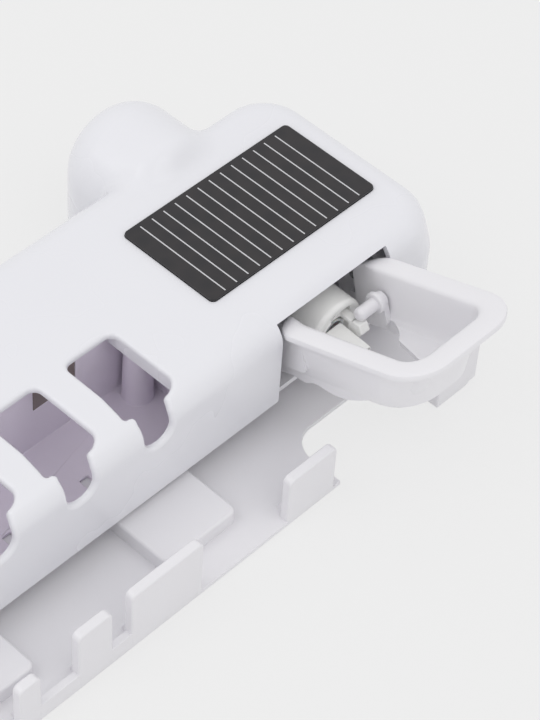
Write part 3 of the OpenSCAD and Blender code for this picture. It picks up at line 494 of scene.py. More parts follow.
def turned(name, profile, material, steps=64, place=None):
    """A lathe piece from a profile of radii and heights, by Geometry Nodes; place stands it in its place.

    The profile is swept round a circle a little smaller than the piece, and drawn in by as much."""
    ring = max(r for r, h in profile) * 0.6
    on_axis = profile[0][0] < 0.001 and profile[-1][0] < 0.001
    count = len(profile)
    edges = [(k, (k + 1) % count) for k in range(count - 1 if on_axis else count)]
    piece = mesh_piece(name, [(r - ring, -h, 0) for r, h in profile], edges=edges)
    lathe = Growth("lathe", Steps=steps, Ring=ring * MM, Weld=0.001 * MM)
    section = lathe.node("GeometryNodeMeshToCurve", Mesh=lathe.given["Geometry"])
    path = lathe.node("GeometryNodeCurvePrimitiveCircle", Resolution=lathe.given["Steps"],
        Radius=lathe.given["Ring"])
    skin = lathe.node("GeometryNodeCurveToMesh", Curve=path, Profile_Curve=section)
    welded = lathe.node("GeometryNodeMergeByDistance", Geometry=skin, Distance=lathe.given["Weld"])
    lathe.grow(piece, welded, material)
    form = bmesh.new()
    form.from_mesh(piece.data)
    bmesh.ops.recalc_face_normals(form, faces=form.faces)
    form.to_mesh(piece.data)
    form.free()
    if place is not None:
        piece.data.transform(place)
    return even_shading(piece)


def block(name, low, high):
    """A plain box between two corners, to cut with or to build from."""
    points = [(x, y, z) for x in (low[0], high[0]) for y in (low[1], high[1]) for z in (low[2], high[2])]
    return mesh_piece(name, points, BOX_FACES, smooth=False)


zinc, zinc_shader, place = new_material("zinc", Metallic=1.0, Base_Color=(0.62, 0.62, 0.63, 1),
    Roughness=0.3)
feed(zinc_shader, Roughness=noise(place, 300.0) * 0.2 + 0.2)
screw = turned("screw", SCREW_LINE, zinc, 24)
for long, wide in ((CROSS_L, CROSS_W), (CROSS_W, CROSS_L)):
    carve(screw, block("cross", (-long / 2, -wide / 2, -OVERRUN), (long / 2, wide / 2, CROSS_DEEP)))
screws = mesh_piece("cover_screw_set", [(x, y, SCREW_BACK) for x, y in SCREW_SPOTS])
scatter = Growth("screw_places", Scale=1.0)
one = scatter.node("GeometryNodeObjectInfo", {"transform_space": "ORIGINAL"}, "Geometry", Object=screw)
spots = scatter.node("GeometryNodeInstanceOnPoints", Points=scatter.given["Geometry"], Instance=one,
    Scale=scatter.given["Scale"])
scatter.grow(screws, spots, zinc)
bpy.data.objects.remove(screw)
finish(even_shading(screws, 30), zinc, "housing", "steel", "cover_screws")

# Brush tray: the floor that stands behind the slots, with a wall along its back and two stout posts
# between slots. It is one moulding of pale grey plastic, a little duller than the front, with small
# drain holes. Its lilac tint is painted shade: the tint of the dim light inside the housing.

# The lilac in this grey is painted shade, the tint of the housing's shaded inside, not the plastic's own.
TRAY_GREY_AND_SHADE_TINT = (0.80, 0.74, 0.84)


def softened(node, edge, steps=2, angle=40.0):
    """A copy of a CAD node with its flat faces joined and its sharp edges rounded."""
    form = bmesh.new()
    form.from_mesh(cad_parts[node].data)
    bmesh.ops.remove_doubles(form, verts=form.verts, dist=0.002 * MM)
    bmesh.ops.dissolve_limit(form, angle_limit=radians(0.6), verts=form.verts, edges=form.edges)
    mesh = bpy.data.meshes.new(node + "_soft")
    form.to_mesh(mesh)
    form.free()
    piece = in_scene(node + "_soft", mesh)
    bevel = piece.modifiers.new("edges", "BEVEL")
    bevel.width = edge * MM
    bevel.segments = steps
    bevel.limit_method = "ANGLE"
    bevel.angle_limit = radians(angle)
    bevel.use_clamp_overlap = False
    bevel.miter_outer = "MITER_ARC"
    return even_shading(plain_mesh(piece))


# The tray's material carries the painted lilac shade tint in its colour.
tray_shade_tinted = plastic("grey_with_painted_shade_tint", TRAY_GREY_AND_SHADE_TINT, rough=0.4, grain=0.06, coat=0.0)
finish(softened("brush_tray", edge=0.45), tray_shade_tinted, "housing", "grey_plastic", "brush_tray")

# Lamp windows: two smoked clear covers set in the tray's wall, through which ultraviolet lamps shine on
# the bristles. Behind each stands a small green board with two yellow diodes; the control board is of the
# same laminate.

smoke, smoke_shader, place = new_material("smoked_clear", Base_Color=(0.10, 0.075, 0.06, 1), Roughness=0.12,
    IOR=1.49, Coat_Weight=0.4, Coat_Roughness=0.05)
cloudy = noise(place, 35.0).over(0.3, 0.7)
feed(smoke_shader, Base_Color=cloudy.between((0.19, 0.15, 0.13), (0.14, 0.11, 0.10)))
finish(softened("lamp_windows", edge=0.2), smoke, "housing", "clear", "lamp_windows")

laminate, laminate_shader, place = new_material("green_laminate", Roughness=0.35, Coat_Weight=0.3,
    Coat_Roughness=0.2)
across = place.node("ShaderNodeSeparateXYZ", Vector=place)
along = place.node("ShaderNodeSeparateXYZ", out=1, Vector=place)
tracks = (across * 900.0).maths("SINE").maths("MAXIMUM", (along * 700.0).maths("SINE"))
feed(laminate_shader, Base_Color=tracks.over(0.86, 0.93).between((0.02, 0.13, 0.05), (0.05, 0.24, 0.08)),
    Roughness=noise(place, 80.0) * 0.2 + 0.25, Normal=bump(tracks.over(0.8, 0.95), 0.03 * MM, 0.4))
dress(laminate, "lamp_boards", "control_board")

phosphor, phosphor_shader, place = new_material("yellow_phosphor", Roughness=0.3)
feed(phosphor_shader, Base_Color=noise(place, 500.0).between((0.75, 0.55, 0.12), (0.85, 0.68, 0.2)))
dress(phosphor, "lamp_diodes")

# Board parts: a chip, two plug boxes and a round capacitor, all in black moulded cases. They are soldered
# on the control board.

black_case, black_shader, place = new_material("black_case", Roughness=0.5)
feed(black_shader, Base_Color=noise(place, 250.0).between((0.02, 0.02, 0.022), (0.035, 0.035, 0.038)),
    Normal=bump(noise(place, 1500.0), 0.03 * MM, 0.5))
dress(black_case, "board_parts")

# Battery cell: one round steel cell, which lies in its cradle along x. It is wrapped in shrunk blue film
# that is drawn in over both ends, where the bare steel shows.

CELL_MID = -41.944
# Where the film ends, from the cell's middle.
FILM_END = (31.2, 31.4)

film, film_shader, place = new_material("blue_film", Roughness=0.22, Coat_Weight=0.3, Coat_Roughness=0.1)
along = place.node("ShaderNodeSeparateXYZ", Vector=place) - CELL_MID * MM
ends = along.maths("ABSOLUTE").over(FILM_END[0] * MM, FILM_END[1] * MM)
feed(film_shader, Base_Color=ends.between((0.03, 0.16, 0.5), (0.5, 0.5, 0.5)), Metallic=ends * 0.9,
    Normal=bump(noise(place, 220.0, 4.0), 0.06 * MM, 0.35))
dress(film, "battery_cell")

# Front shell: one injection moulding of glossy white plastic, rounded all round its front, with the brush
# slots, the panel's recess, the bowl's cut-out and the hood over the tube. The hood is blended in with a
# small hollow round.

FRONT_WHITE = (0.81, 0.81, 0.85)
WALL = 2.4
BODY_HALF_L = 162.0
BODY_LOW = -26.1
BODY_TOP = 68.9
FRONT = 52.0
REAR = 11.0
# Plan radius of the corners at the front, how much less it is at the rear, and the levels where it grows.
CORNER_R = 20.0
CORNER_LESS = 7.0
CORNER_GROWS = (30.0, 45.0)
FRONT_R = 11.0
DISP_X = 102.4
HOOD_R = 24.6
HOOD_CROWN = 59.5
HOOD_TOP = 99.9
HOOD_FOOT = 52.6
HOOD_END_R = 17.0
HOOD_FOOT_R = 11.3
HOOD_BLEND = 5.0
# Spacing of the skin's points, and how far below the rear rim they are still drawn onto the surface.
NET = 1.4
NET_MARGIN = 4.0


def off_corner(past, radius):
    """Distance from a rounded corner, from how far a point is past the corner's middle in two directions."""
    return np.minimum(past.max(1), 0) + np.linalg.norm(np.maximum(past, 0), axis=1) - radius


def body_field(p):
    """Distance from the housing's rounded bar, below zero inside it."""
    half = np.array([BODY_HALF_L, (BODY_TOP - BODY_LOW) / 2])
    low, high = CORNER_GROWS
    rise = np.clip((p[:, 2] - low) / (high - low), 0, 1)
    corner = CORNER_R - CORNER_LESS * (1 - rise * rise * (3 - 2 * rise))
    plan = off_corner(np.abs(p[:, :2] - [0, (BODY_TOP + BODY_LOW) / 2]) - half + corner[:, None], corner)
    return off_corner(np.stack([plan + FRONT_R, p[:, 2] - FRONT + FRONT_R], 1), FRONT_R)


def hood_field(p):
    """Distance from the hood: a bar with rounded ends, round above its axis and upright below it."""
    axis_z = HOOD_CROWN - HOOD_R
    across = np.hypot(p[:, 0] - DISP_X, np.maximum(p[:, 2] - axis_z, 0))
    end = np.where(p[:, 1] > (HOOD_TOP + HOOD_FOOT) / 2, HOOD_END_R, HOOD_FOOT_R)
    along = np.abs(p[:, 1] - (HOOD_TOP + HOOD_FOOT) / 2) - (HOOD_TOP - HOOD_FOOT) / 2
    return off_corner(np.stack([across - HOOD_R + end, along + end], 1), end)


def shell_field(p):
    """The two distances joined, with a hollow round where they meet."""
    body = body_field(p)
    hood = hood_field(p)
    near = np.maximum(HOOD_BLEND - np.abs(body - hood), 0) / HOOD_BLEND
    return np.minimum(body, hood) - near * near * HOOD_BLEND / 4


def shell_normal(p):
    """Outward directions of the blended surface, from the distance a small step to either side."""
    step = 0.02
    slope = np.stack([shell_field(p + d) - shell_field(p - d) for d in np.eye(3) * step], 1)
    return slope / np.maximum(np.linalg.norm(slope, axis=1, keepdims=True), 1e-9)


def coords(mesh):
    """The mesh's points, in millimetres."""
    co = np.empty(len(mesh.vertices) * 3)
    mesh.vertices.foreach_get("co", co)
    return co.reshape(-1, 3) / MM


def moulded_skin():
    """An even net of points, drawn onto the blended surface: its points, outward normals and faces."""
    skin = joined("skin", [block("bar", (-BODY_HALF_L, BODY_LOW, 0), (BODY_HALF_L, BODY_TOP, FRONT)),
        block("hood", (DISP_X - HOOD_R, BODY_TOP - HOOD_R, 0), (DISP_X + HOOD_R, HOOD_TOP, HOOD_CROWN))])
    for _ in range(2):
        net = skin.modifiers.new("net", "REMESH")
        net.mode = "VOXEL"
        net.voxel_size = NET * MM
        plain_mesh(skin)
        p = coords(skin.data)
        side = p[:, 2] > REAR - NET_MARGIN
        for _ in range(6):
            p[side] -= (shell_field(p) * shell_normal(p).T).T[side]
        skin.data.vertices.foreach_set("co", (p * MM).ravel())
    form = bmesh.new()
    form.from_mesh(skin.data)
    bmesh.ops.bisect_plane(form, geom=form.verts[:] + form.edges[:] + form.faces[:], dist=1e-6,
        plane_co=(0, 0, REAR * MM), plane_no=(0, 0, -1), clear_outer=True)
    form.to_mesh(skin.data)
    form.free()
    p = coords(skin.data)
    for _ in range(3):
        step = (shell_field(p) * shell_normal(p).T).T
        step[np.abs(p[:, 2] - REAR) < 0.01, 2] = 0
        p -= step
    faces = [tuple(f.vertices) for f in skin.data.polygons]
    bpy.data.objects.remove(skin)
    return p, shell_normal(p), faces


def open_edges(faces):
    """The edges that only one face has, in that face's direction."""
    seen = {(a, b) for f in faces for a, b in zip(f, f[1:] + f[:1])}
    return [(a, b) for a, b in seen if (b, a) not in seen]


def thick_skin(name, p, n, faces, wall):
    """The skin with a second one a wall's thickness inside it, closed along its rim."""
    inner = p - n * wall
    inner[np.abs(p[:, 2] - REAR) < 0.01, 2] = REAR
    count = len(p)
    closed = faces + [tuple(k + count for k in reversed(f)) for f in faces]
    closed += [(b, a, a + count, b + count) for a, b in open_edges(faces)]
    return mesh_piece(name, np.vstack([p, inner]), closed)


shell = thick_skin("white_front_shell", *moulded_skin(), WALL)

# Brush slots: a row of five in the same moulding, each a mouth for the bristles and a neck for the
# handle, which goes on over the rounded edge and down. Their edges are rolled inwards. One is made, and
# is set along the row.

SLOT_X = 16.0
SLOT_PITCH = 36.2
SLOTS = 5
# Corners of a slot about its middle, clockwise from the upper left: across, down the front, radius.
SLOT_CORNERS = [(-11.4, 13.3, 3.6), (11.6, 13.3, 3.6), (11.8, -19.4, 6.3), (4.9, -20.6, 2.1),
    (3.8, -26.0, 8.0), (3.7, -37.4, 6.2), (-9.3, -37.4, 6.2), (-9.3, -22.5, 1.2), (-8.4, -19.4, 2.1),
    (-13.0, -19.2, 1.5), (-11.4, -6.0, 10.0)]
SLOT_STEP = 1.5
# How far the cutter stands out of the front, so that its flat end clears the rounded edge.
SLOT_CLEAR = 3.0
SLOT_ROLL = 1.7
# How far the rolled edge reaches into the wall, and how far under the wall's outer face it stays there.
ROLL_LAP = 0.3
ROLL_UNDER = 0.01


def spaced(outline, step):
    """The outline with further points on its long straight stretches."""
    out = []
    for a, b in zip(outline, outline[1:] + outline[:1]):
        parts = max(1, int((b - a).length / step))
        out += [a.lerp(b, j / parts) for j in range(parts)]
    return out


def spread(outline, by):
    """The outline moved outwards, for one that runs clockwise."""
    out = []
    for k, here in enumerate(outline):
        run = (outline[(k + 1) % len(outline)] - outline[k - 1]).normalized()
        out.append(here + Vector((-run.y, run.x)) * by)
    return out


def arc(x, y, radius, start, stop, steps):
    """Points of an arc about a middle from one angle to another, in degrees."""
    turns = [radians(start + (stop - start) * k / steps) for k in range(steps + 1)]
    return [(x + radius * cos(a), y + radius * sin(a)) for a in turns]


def on_front(x, s):
    """A place on the front and the lower side: s is y on the front, and goes on round the edge and down."""
    turn = (BODY_LOW + FRONT_R - s) / FRONT_R
    if turn <= 0:
        return np.array([x, s, FRONT]), np.array([0, 0, 1.0])
    if turn <= pi / 2:
        n = np.array([0, -sin(turn), cos(turn)])
        return np.array([x, BODY_LOW + FRONT_R, FRONT - FRONT_R]) + n * FRONT_R, n
    return np.array([x, BODY_LOW, FRONT - FRONT_R - (turn - pi / 2) * FRONT_R]), np.array([0, -1.0, 0])


def slot_loops(outline, section):
    """Loops along a slot's outline: the section is pairs of outward offset and depth in the wall."""
    loops = []
    for out_by, deep in section:
        for point in spread(outline, out_by):
            at, n = on_front(point.x, point.y)
            loops.append(at - n * deep)
    return loops


def in_a_row(piece, count, first, pitch, material=None):
    """The piece repeated along x by Geometry Nodes: how many, the first one's place, the step onwards."""
    row = Growth("row", Count=count, First=(first * MM, 0.0, 0.0), Pitch=(pitch * MM, 0.0, 0.0))
    line = row.node("GeometryNodeMeshLine", Count=row.given["Count"], Start_Location=row.given["First"],
        Offset=row.given["Pitch"])
    placed = row.node("GeometryNodeInstanceOnPoints", Points=line, Instance=row.given["Geometry"])
    return row.grow(piece, placed, material)


slot_line = spaced(rounded(SLOT_CORNERS), SLOT_STEP)
through = [(SLOT_ROLL, -SLOT_CLEAR), (SLOT_ROLL, 0), (SLOT_ROLL, WALL + OVERRUN)]
opening = lofted("slot", slot_loops(slot_line, through), len(slot_line))
carve(shell, in_a_row(opening, SLOTS, SLOT_X, -SLOT_PITCH))
roll = arc(SLOT_ROLL, SLOT_ROLL, SLOT_ROLL, 270, 180, 6)
roll += [(0, WALL), (SLOT_ROLL + ROLL_LAP, WALL), (SLOT_ROLL + ROLL_LAP, ROLL_UNDER)]
edge = lofted("slot_edge", slot_loops(slot_line, roll), len(slot_line), ring=True)
carve(shell, in_a_row(edge, SLOTS, SLOT_X, -SLOT_PITCH), "UNION")

# The shell's other openings and its inner side: the bowl's cut-out in the lower wall, the panel's recess,
# the tube's mouth, screw bosses, the tops of the tray's posts and a rib beside the last slot, all of the
# same moulding.

CUT_HALF_W = 28.5
CUT_SIDE = [(-15.1, 41.0), (-23.13, 49.92), (-28.1, 49.92), (-28.1, 9.0), (-15.1, 9.0)]
PANEL_MID = (105.3, 21.4)
RECESS_L = 85.4
RECESS_W = 46.4
RECESS_R = 2.2
RECESS_FLOOR = 51.0
TUBE_MOUTH_R = 16.0
TUBE_MOUTH_Z = 31.9
BOSS_R = 4.0
BOSS_LOW = 13.8
BOSS_TOP = 50.8
PILOT_R = 1.2
PILOT_DEEP = 8.0
POSTS = [(36.7, 8.9), (-149.5, 8.9)]
POST_R = 5.3
POST_LOW = 45.6
RIB = ((27.9, -18.4, 44.6), (29.9, 15.3, 50.8))


def skin_shading(piece):
    """On the moulded skins the light follows the blended surface itself, elsewhere the real faces."""
    mesh = piece.data
    for polygon in mesh.polygons:
        polygon.use_smooth = True
    mesh.set_sharp_from_angle(angle=radians(32))
    at = coords(mesh)
    field = shell_field(at)
    turn = shell_normal(at)
    corner = np.empty(len(mesh.loops), int)
    mesh.loops.foreach_get("vertex_index", corner)
    light = np.empty(len(mesh.loops) * 3)
    mesh.corner_normals.foreach_get("vector", light)
    light = light.reshape(-1, 3)
    sides = [len(f.vertices) for f in mesh.polygons]
    flat = np.repeat([list(f.normal) for f in mesh.polygons], sides, axis=0)
    along = (flat * turn[corner]).sum(1)
    outer = (np.abs(field[corner]) < 0.03) & (along > 0.9)
    inner = (np.abs(field[corner] + WALL) < 0.06) & (along < -0.9)
    light[outer] = turn[corner][outer]
    light[inner] = -turn[corner][inner]
    mesh.normals_split_custom_set(light.tolist())


carve(shell, prism("cut_out", CUT_SIDE, DISP_X - CUT_HALF_W, DISP_X + CUT_HALF_W, along_x))
recess = box_line(RECESS_L, RECESS_W, RECESS_R, PANEL_MID)
carve(shell, prism("recess", recess, RECESS_FLOOR, FRONT + OVERRUN))
mouth = circle_line(TUBE_MOUTH_R, (DISP_X, TUBE_MOUTH_Z))
carve(shell, prism("tube_mouth", mouth, HOOD_TOP - HOOD_END_R, HOOD_TOP + OVERRUN, along_y))
bosses = [prism("boss", circle_line(BOSS_R, spot, 48), BOSS_LOW, BOSS_TOP) for spot in SCREW_SPOTS]
bosses += [prism("post_top", circle_line(POST_R, spot, 48), POST_LOW, BOSS_TOP) for spot in POSTS]
carve(shell, joined("inner_side", bosses + [block("rib", *RIB)]), "UNION")
pilots = [prism("pilot", circle_line(PILOT_R, spot, 32), BOSS_LOW - OVERRUN, BOSS_LOW + PILOT_DEEP)
    for spot in SCREW_SPOTS]
carve(shell, joined("pilots", pilots))
skin_shading(shell)
gloss_white = plastic("gloss_white", FRONT_WHITE, rough=0.27, grain=0.03, coat=0.25)
finish(shell, gloss_white, "housing", "shell", "front_shell")

# Solar panel: dark cells laminated on a board under clear resin, bedded in the front's recess on a foam
# gasket. Pale finger lines run across it, short of both long edges; they are one printed strip, repeated
# along the row.

PANEL_L = 85.0
PANEL_W = 46.0
PANEL_R = 2.0
PANEL_LOW = 51.4
PANEL_TOP = 53.2
PANEL_EDGE = 0.35
LINES = 13
LINE_W = 0.5
LINE_L = 43.2
LINE_FIRST = 69.8
LINE_PITCH = 5.84
LINE_Y = 20.8
LINE_PROUD = 0.02
LINE_UNDER = 0.1

slab = box_line(PANEL_L, PANEL_W, PANEL_R, PANEL_MID)
panel = prism("solar_panel_slab", slab, PANEL_LOW, PANEL_TOP, edge=PANEL_EDGE, steps=3)
resin, resin_shader, place = new_material("dark_cells", Base_Color=(0.03, 0.028, 0.03, 1), Roughness=0.2,
    IOR=1.35, Coat_Weight=0.1, Coat_Roughness=0.04)
crystal = place.node("ShaderNodeTexVoronoi", Vector=place, Scale=160.0).over(0.2, 0.8)
feed(resin_shader, Base_Color=crystal.between((0.027, 0.026, 0.029), (0.034, 0.031, 0.033)),
    Roughness=noise(place, 40.0) * 0.08 + 0.14, Normal=bump(noise(place, 120.0), 0.02 * MM, 0.15))
finish(even_shading(panel), resin, "housing", "panel", "solar_panel")

strip = block("cell_lines", (-LINE_W / 2, LINE_Y - LINE_L / 2, PANEL_TOP - LINE_UNDER),
    (LINE_W / 2, LINE_Y + LINE_L / 2, PANEL_TOP + LINE_PROUD))
silver, silver_shader, place = new_material("printed_silver", Base_Color=(0.62, 0.62, 0.64, 1),
    Roughness=0.4)
feed(silver_shader, Base_Color=noise(place, 400.0).between((0.56, 0.56, 0.58), (0.66, 0.66, 0.68)))
finish(in_a_row(strip, LINES, LINE_FIRST, LINE_PITCH, silver), silver, "housing", "panel")

foam, foam_shader, place = new_material("black_foam", Base_Color=(0.02, 0.02, 0.02, 1), Roughness=0.95)
cells = place.node("ShaderNodeTexVoronoi", Vector=place, Scale=2500.0)
feed(foam_shader, Normal=bump(cells, 0.1 * MM, 0.7))
dress(foam, "panel_gasket")

# Tube socket: a short ivory cup, turned about the pump's axis, that the tube's neck is pushed into; a
# dark rubber ring at its bottom seals it. It stands on two ribs of the rear cover.

IVORY = (0.90, 0.90, 0.885)

ivory = plastic("ivory", IVORY, rough=0.34, grain=0.04, coat=0.1)
finish(softened("tube_socket", edge=0.4, angle=35), ivory, "housing", "ivory", "tube_socket")

rubber, rubber_shader, place = new_material("dark_rubber", Base_Color=(0.04, 0.04, 0.045, 1), Roughness=0.7)
feed(rubber_shader, Roughness=noise(place, 150.0) * 0.2 + 0.6,
    Normal=bump(noise(place, 1200.0), 0.05 * MM, 0.4))
dress(rubber, "tube_seal")

# Pump head: the ivory drum on the same axis, with a shallow dish in its face, a bore for the sleeve and a
# slot from above for the slider's blade. It is moulded with two feet, and its outer edge is well rounded.

AXIS_Z = 27.5
HEAD_LOW = -27.0
HEAD_L = 23.0
HEAD_R = 13.5
HEAD_EDGE = 2.0
HEAD_BORE = 6.0
# The wide mouth of the bore: its radius, which is a little less at the bottom, and its depth.
MOUTH_R = 7.7
MOUTH_TAPER = 0.3
MOUTH_DEEP = 3.2
LIP_R = 0.5
# The dish in the face: its inner and outer radius, its depth, its edges' depth and its slopes' width.
DISH = (8.6, 11.4)
DISH_DEEP = 0.5
DISH_EDGE = 0.1
DISH_SLOPE = 0.5
BLADE_SLOT = ((98.6, -30.0, 25.5), (109.0, -13.0, 37.0))
FEET_X = [(DISP_X - 11, DISP_X - 7), (DISP_X + 7, DISP_X + 11)]
FOOT_Y = (-26.0, -4.0)
FOOT_Z = (13.8, 21.5)


def standing(x, y, z, along):
    """Where a turned piece stands, in millimetres, and whether its axis runs along X or Y."""
    turn = {"Y": Matrix.Rotation(-pi / 2, 4, "X"), "X": Matrix.Rotation(pi / 2, 4, "Y")}[along]
    return Matrix.Translation((x * MM, y * MM, z * MM)) @ turn


drum_line = [(HEAD_BORE, HEAD_L), (HEAD_BORE, MOUTH_DEEP), (MOUTH_R - MOUTH_TAPER, MOUTH_DEEP)]
drum_line += arc(MOUTH_R + LIP_R, LIP_R, LIP_R, 180, 270, 4)
drum_line += [(DISH[0], DISH_EDGE), (DISH[0] + DISH_SLOPE, DISH_DEEP)]
drum_line += [(DISH[1] - DISH_SLOPE, DISH_DEEP), (DISH[1], DISH_EDGE)]
drum_line += arc(HEAD_R - HEAD_EDGE, HEAD_EDGE, HEAD_EDGE, 270, 360, 8)
drum_line += arc(HEAD_R - LIP_R, HEAD_L - LIP_R, LIP_R, 0, 90, 3)
drum = turned("pump_drum", drum_line, ivory, 128, standing(DISP_X, HEAD_LOW, AXIS_Z, "Y"))
for x0, x1 in FEET_X:
    carve(drum, block("foot", (x0, FOOT_Y[0], FOOT_Z[0]), (x1, FOOT_Y[1], FOOT_Z[1])), "UNION")
carve(drum, block("blade_slot", *BLADE_SLOT))
bore = circle_line(HEAD_BORE, (DISP_X, AXIS_Z))
carve(drum, prism("bore", bore, HEAD_LOW + 1, HEAD_LOW + HEAD_L + 1, along_y))
finish(even_shading(drum, 32), ivory, "housing", "ivory", "pump_head")

# Pump sleeve: a tube moulded in milky silicone, pushed into the drum's bore. The slider's blade squeezes
# it, and it springs back.

milk, milk_shader, place = new_material("milky_silicone", Base_Color=(0.72, 0.72, 0.72, 1), Roughness=0.38,
    Subsurface_Weight=0.2, Subsurface_Scale=0.003)
feed(milk_shader, Base_Color=noise(place, 90.0).between((0.70, 0.70, 0.71), (0.75, 0.75, 0.75)),
    Normal=bump(noise(place, 600.0), 0.04 * MM, 0.3))
dress(milk, "pump_sleeve")

# Nozzle tongue: the ivory spout under the sleeve that leads the paste down into the bowl. Press slider: a
# hex head under the drive pin, with a stem and a blade that goes into the drum's slot, moulded in the
# same ivory plastic.

finish(softened("nozzle_tongue", edge=0.35), ivory, "housing", "ivory", "nozzle_tongue")
finish(softened("press_slider", edge=0.4, steps=3, angle=30), ivory, "slider", "ivory", "press_slider")

# Push bowl: one white moulding that hangs out under the housing, tilted forwards: a deep tapering bowl
# with a wide flat rim, an opening in its floor for the spout, and two arms that turn on the hinge pins.

BOWL_WHITE = (0.83, 0.82, 0.85)
BOWL_HALF_W = 28.0
BOWL_REACH = 64.5
BOWL_LEAN = radians(20.5)
BOWL_Z = 46.6
# The bowl's levels, from the bottom's outside over the rim's lip to the floor. Each has its insets at the
# sides and at the end, its corner radius, its depth under the rim, and its share in the rounding of the
# rim's back corner.
OUTSIDE = [(12.3, 21, 11.7, 22.2, 0), (12, 20.7, 12, 25, 0), (10.1, 18.8, 13.8, 25.3, 0),
    (8.9, 17.7, 14.8, 25, 0), (7.8, 17.4, 16, 24.1, 0), (6.5, 16.9, 16.7, 22.3, 0),
    (5.6, 15.9, 17.1, 19.8, 0), (4.7, 14.2, 17.2, 15.8, 0), (4.3, 12.4, 17.2, 11.8, 0),
    (3.8, 10.7, 17.2, 7.8, 0), (3.4, 6.5, 16.8, 5, 0)]
LIP = [(3.2, 4.5, 16.5, 3.9, 0), (2.4, 3.2, 16.2, 3.3, 0.15), (0.9, 1.2, 16, 3.2, 0.4),
    (0.15, 0.52, 16, 2.9, 0.6), (0, 0.34, 16, 2.4, 0.7), (0, 0, 16, 1.2, 0.75), (0.2, 0.2, 15.8, 0.55, 0.9),
    (0.8, 1.05, 15.2, 0.15, 1), (2.2, 2.4, 13.8, -0.1, 1), (4.5, 5.2, 11.8, -0.25, 1),
    (6.4, 7.8, 10, -0.1, 1), (7.8, 9.2, 8.7, 0.3, 1), (8.6, 10.2, 7.9, 0.9, 1), (9, 10.6, 7.5, 1.8, 1)]
INSIDE = [(9.2, 11, 7.3, 3.5, 0), (9.9, 12.4, 6.6, 10, 0), (10.6, 14.2, 5.9, 15, 0),
    (11.4, 16.3, 5.2, 18, 0), (12.6, 18.3, 4.3, 19.6, 0), (14.1, 20.4, 3.4, 20, 0)]
# Places of a level's points along the rim, close together where the rim's back corner is round.
BOWL_OUTS = [-12, -10, -8.5, -7.4, -6.7, -5.9, -4.9, -3.7, -2.3, -0.7, 0.7, 2, 6, 10, 14, 18]
# The rim's back corner: where its rounding ends, its radius, the inset that it stays inside, its share of it.
BACK_END = 2.0
BACK_R = 9.0
BACK_INSET = 9.2
BACK_SHARE = 0.97
FLOOR_HOLE_R = 17.0
FLOOR_HOLE_OUT = 2.0
FLOOR_HOLE_TIP = 36.5
FLOOR_HOLE_TIP_R = 1.8
FLOOR_HOLE_DEEP = (18.9, 27.0)
# Arms, and the skirts beside them: from and to which place across, and outline as out along the rim, down.
ARM_X = (21.9, 24.1)
ARM = [(2, 2), (2, 19), (-12, 19.5), (-23, 21), (-26, 15), (-23, 5.5), (-15, 2)]
ARM_R = 2.5
SKIRT_X = (19.4, 21.4)
SKIRT = [(-17, 15), (-17, 25.7), (-9, 25.4), (-6, 26.3), (-3, 26.6), (0.6, 25.3), (3, 25.4), (7, 26.4),
    (11.5, 27.2), (15, 27), (18.5, 26.6), (24, 24.9), (30, 22.6), (30, 15)]
# The far skirt is shorter, so that it passes the wall plate's last tab.
FAR_SKIRT_OUT = 20
SKIRT_EDGE = 0.4
PIVOT = (-16.0, 9.0)
PIVOT_BORE = 1.58
PIN_AT = (2.7, 10.8)
PIN_BORE = 2.5
# The web that holds the pin: a plate, and two bosses with their radius, ends across and middle.
WEB_X = (14.5, 17.0)
WEB = [(-0.2, 11), (5.6, 11), (5.6, 18.4), (-0.2, 18.4)]
WEB_BOSSES = [(3.2, 14.5, 17.0, PIN_AT), (3.0, 14.5, 21.0, (2.7, 18.4))]


def in_bowl(x, out, deep):
    """A place in the bowl's own frame: across, out along the rim, down from it."""
    return (DISP_X + x, BODY_LOW - out * cos(BOWL_LEAN) - deep * sin(BOWL_LEAN),
        BOWL_Z + out * sin(BOWL_LEAN) - deep * cos(BOWL_LEAN))


def across_bowl(out, deep, x):
    """Lifts an outline that is drawn from the bowl's side."""
    return in_bowl(x, out, deep)


def bowl_level(side, end, r, deep, drawn):
    """One level of the bowl: from its back on the left, round the end, to its back on the right."""
    half = BOWL_HALF_W - side
    reach = BOWL_REACH - end
    last = BOWL_OUTS[-1]
    line = []
    for out in BOWL_OUTS + [last + (reach - r - last) * share for share in (0.25, 0.5, 0.75, 1)]:
        back = min(max(BACK_END - out, 0), BACK_R)
        pull = BACK_R - sqrt(BACK_R ** 2 - back ** 2)
        line.append((half - min(pull * drawn, max(BACK_SHARE * (BACK_INSET - side), 0)), out))
    line += arc(half - r, reach - r, r, 0, 90, 12)[1:]
    line += [((half - r) * share, reach) for share in (0.66, 0.33)]
    return [in_bowl(-x, out, deep) for x, out in line] + [in_bowl(0, reach, deep)] + \
        [in_bowl(x, out, deep) for x, out in reversed(line)]


levels = [bowl_level(*level) for level in OUTSIDE + LIP + INSIDE]
count = len(levels[0])
last = len(levels) - 1
faces = [(r * count + k, r * count + k + 1, (r + 1) * count + k + 1, (r + 1) * count + k)
    for r in range(last) for k in range(count - 1)]
left = [r * count for r in range(last + 1)]
right = [r * count + count - 1 for r in range(last, -1, -1)]
faces += [tuple(range(count)), tuple(range(last * count, (last + 1) * count)), tuple(left + right)]
bowl = joined("white_push_bowl", [mesh_piece("loft", [p for level in levels for p in level], faces)])

half_line = [(FLOOR_HOLE_R, BOWL_OUTS[0] - 1)] + arc(0, FLOOR_HOLE_OUT, FLOOR_HOLE_R, 0, 58.5, 16)
half_line += arc(0, FLOOR_HOLE_TIP, FLOOR_HOLE_TIP_R, -5, 90, 6)
hole = half_line + [(-x, out) for x, out in reversed(half_line)]
carve(bowl, prism("floor_hole", hole, *FLOOR_HOLE_DEEP, in_bowl))

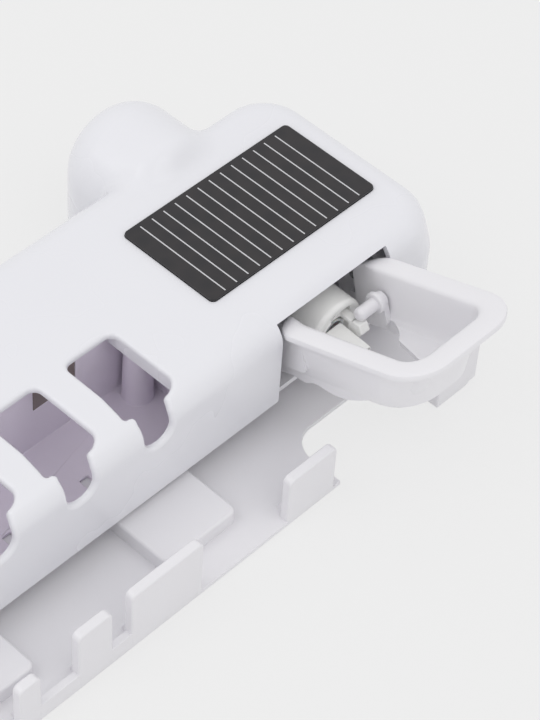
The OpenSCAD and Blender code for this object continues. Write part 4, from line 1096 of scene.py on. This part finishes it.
arm = rounded([(*p, ARM_R) for p in ARM])
for side in (-1, 1):
    carve(bowl, prism("arm", arm, *sorted(side * x for x in ARM_X), across_bowl), "UNION")
far_skirt = [p for p in SKIRT if p[0] < FAR_SKIRT_OUT] + [(FAR_SKIRT_OUT, SKIRT[0][1])]
for side, skirt in ((-1, SKIRT), (1, far_skirt)):
    carve(bowl, prism("skirt", skirt, *sorted(side * x for x in SKIRT_X), across_bowl, SKIRT_EDGE), "UNION")
carve(bowl, prism("web", WEB, *WEB_X, across_bowl), "UNION")
for r, low, high, middle in WEB_BOSSES:
    carve(bowl, prism("web", circle_line(r, middle, 48), low, high, across_bowl), "UNION")
pin_bore = circle_line(PIN_BORE, PIN_AT, 64)
carve(bowl, prism("pin_bore", pin_bore, WEB_X[0] - 0.5, WEB_X[1] + 0.5, across_bowl))
pivot_bore = circle_line(PIVOT_BORE, PIVOT, 48)
carve(bowl, prism("pivot_bore", pivot_bore, -BOWL_HALF_W - OVERRUN, BOWL_HALF_W + OVERRUN, across_bowl))
bowl_white = plastic("bowl_white", BOWL_WHITE, rough=0.3, grain=0.04, coat=0.2)
finish(even_shading(bowl, 38), bowl_white, "bowl", "shell", "push_bowl")

# Drive pin: a stub of the bowl's white plastic with a round nose and a collar, which pushes the slider.
# Its shank is pressed into the bore of the bowl's web.

PIN_R = 2.65
PIN_NOSE = 1.9
COLLAR_R = 4.3
COLLAR_EDGE = 0.6
# Places across the bowl of the nose, the collar's two sides and the shank's end.
PIN_FROM = 3.6
COLLAR_FROM = 12.7
COLLAR_TO = 14.5
PIN_TO = 17.0

pin_line = [(0, 0)] + arc(PIN_R - PIN_NOSE, PIN_NOSE, PIN_NOSE, 270, 360, 6)
pin_line.append((PIN_R, COLLAR_FROM - PIN_FROM))
pin_line += arc(COLLAR_R - COLLAR_EDGE, COLLAR_FROM - PIN_FROM + COLLAR_EDGE, COLLAR_EDGE, 270, 360, 4)
pin_line += [(COLLAR_R, COLLAR_TO - PIN_FROM), (PIN_BORE, COLLAR_TO - PIN_FROM),
    (PIN_BORE, PIN_TO - PIN_FROM), (0, PIN_TO - PIN_FROM)]
pin = turned("white_drive_pin", pin_line, bowl_white, 64, standing(*in_bowl(PIN_FROM, *PIN_AT), "X"))
finish(pin, bowl_white, "bowl", "shell", "drive_pin")

# Hinge pins and return spring: two turned steel stubs with flat heads that the bowl's arms turn on, and a
# wire spring wound round the left one, which lifts the bowl again.

steel, steel_shader, place = new_material("bright_steel", Metallic=1.0, Base_Color=(0.62, 0.62, 0.64, 1),
    Roughness=0.25)
feed(steel_shader, Roughness=noise(place, 220.0) * 0.22 + 0.15,
    Normal=bump(noise(place, 900.0), 0.02 * MM, 0.3))
dress(steel, "hinge_pins", "return_spring")
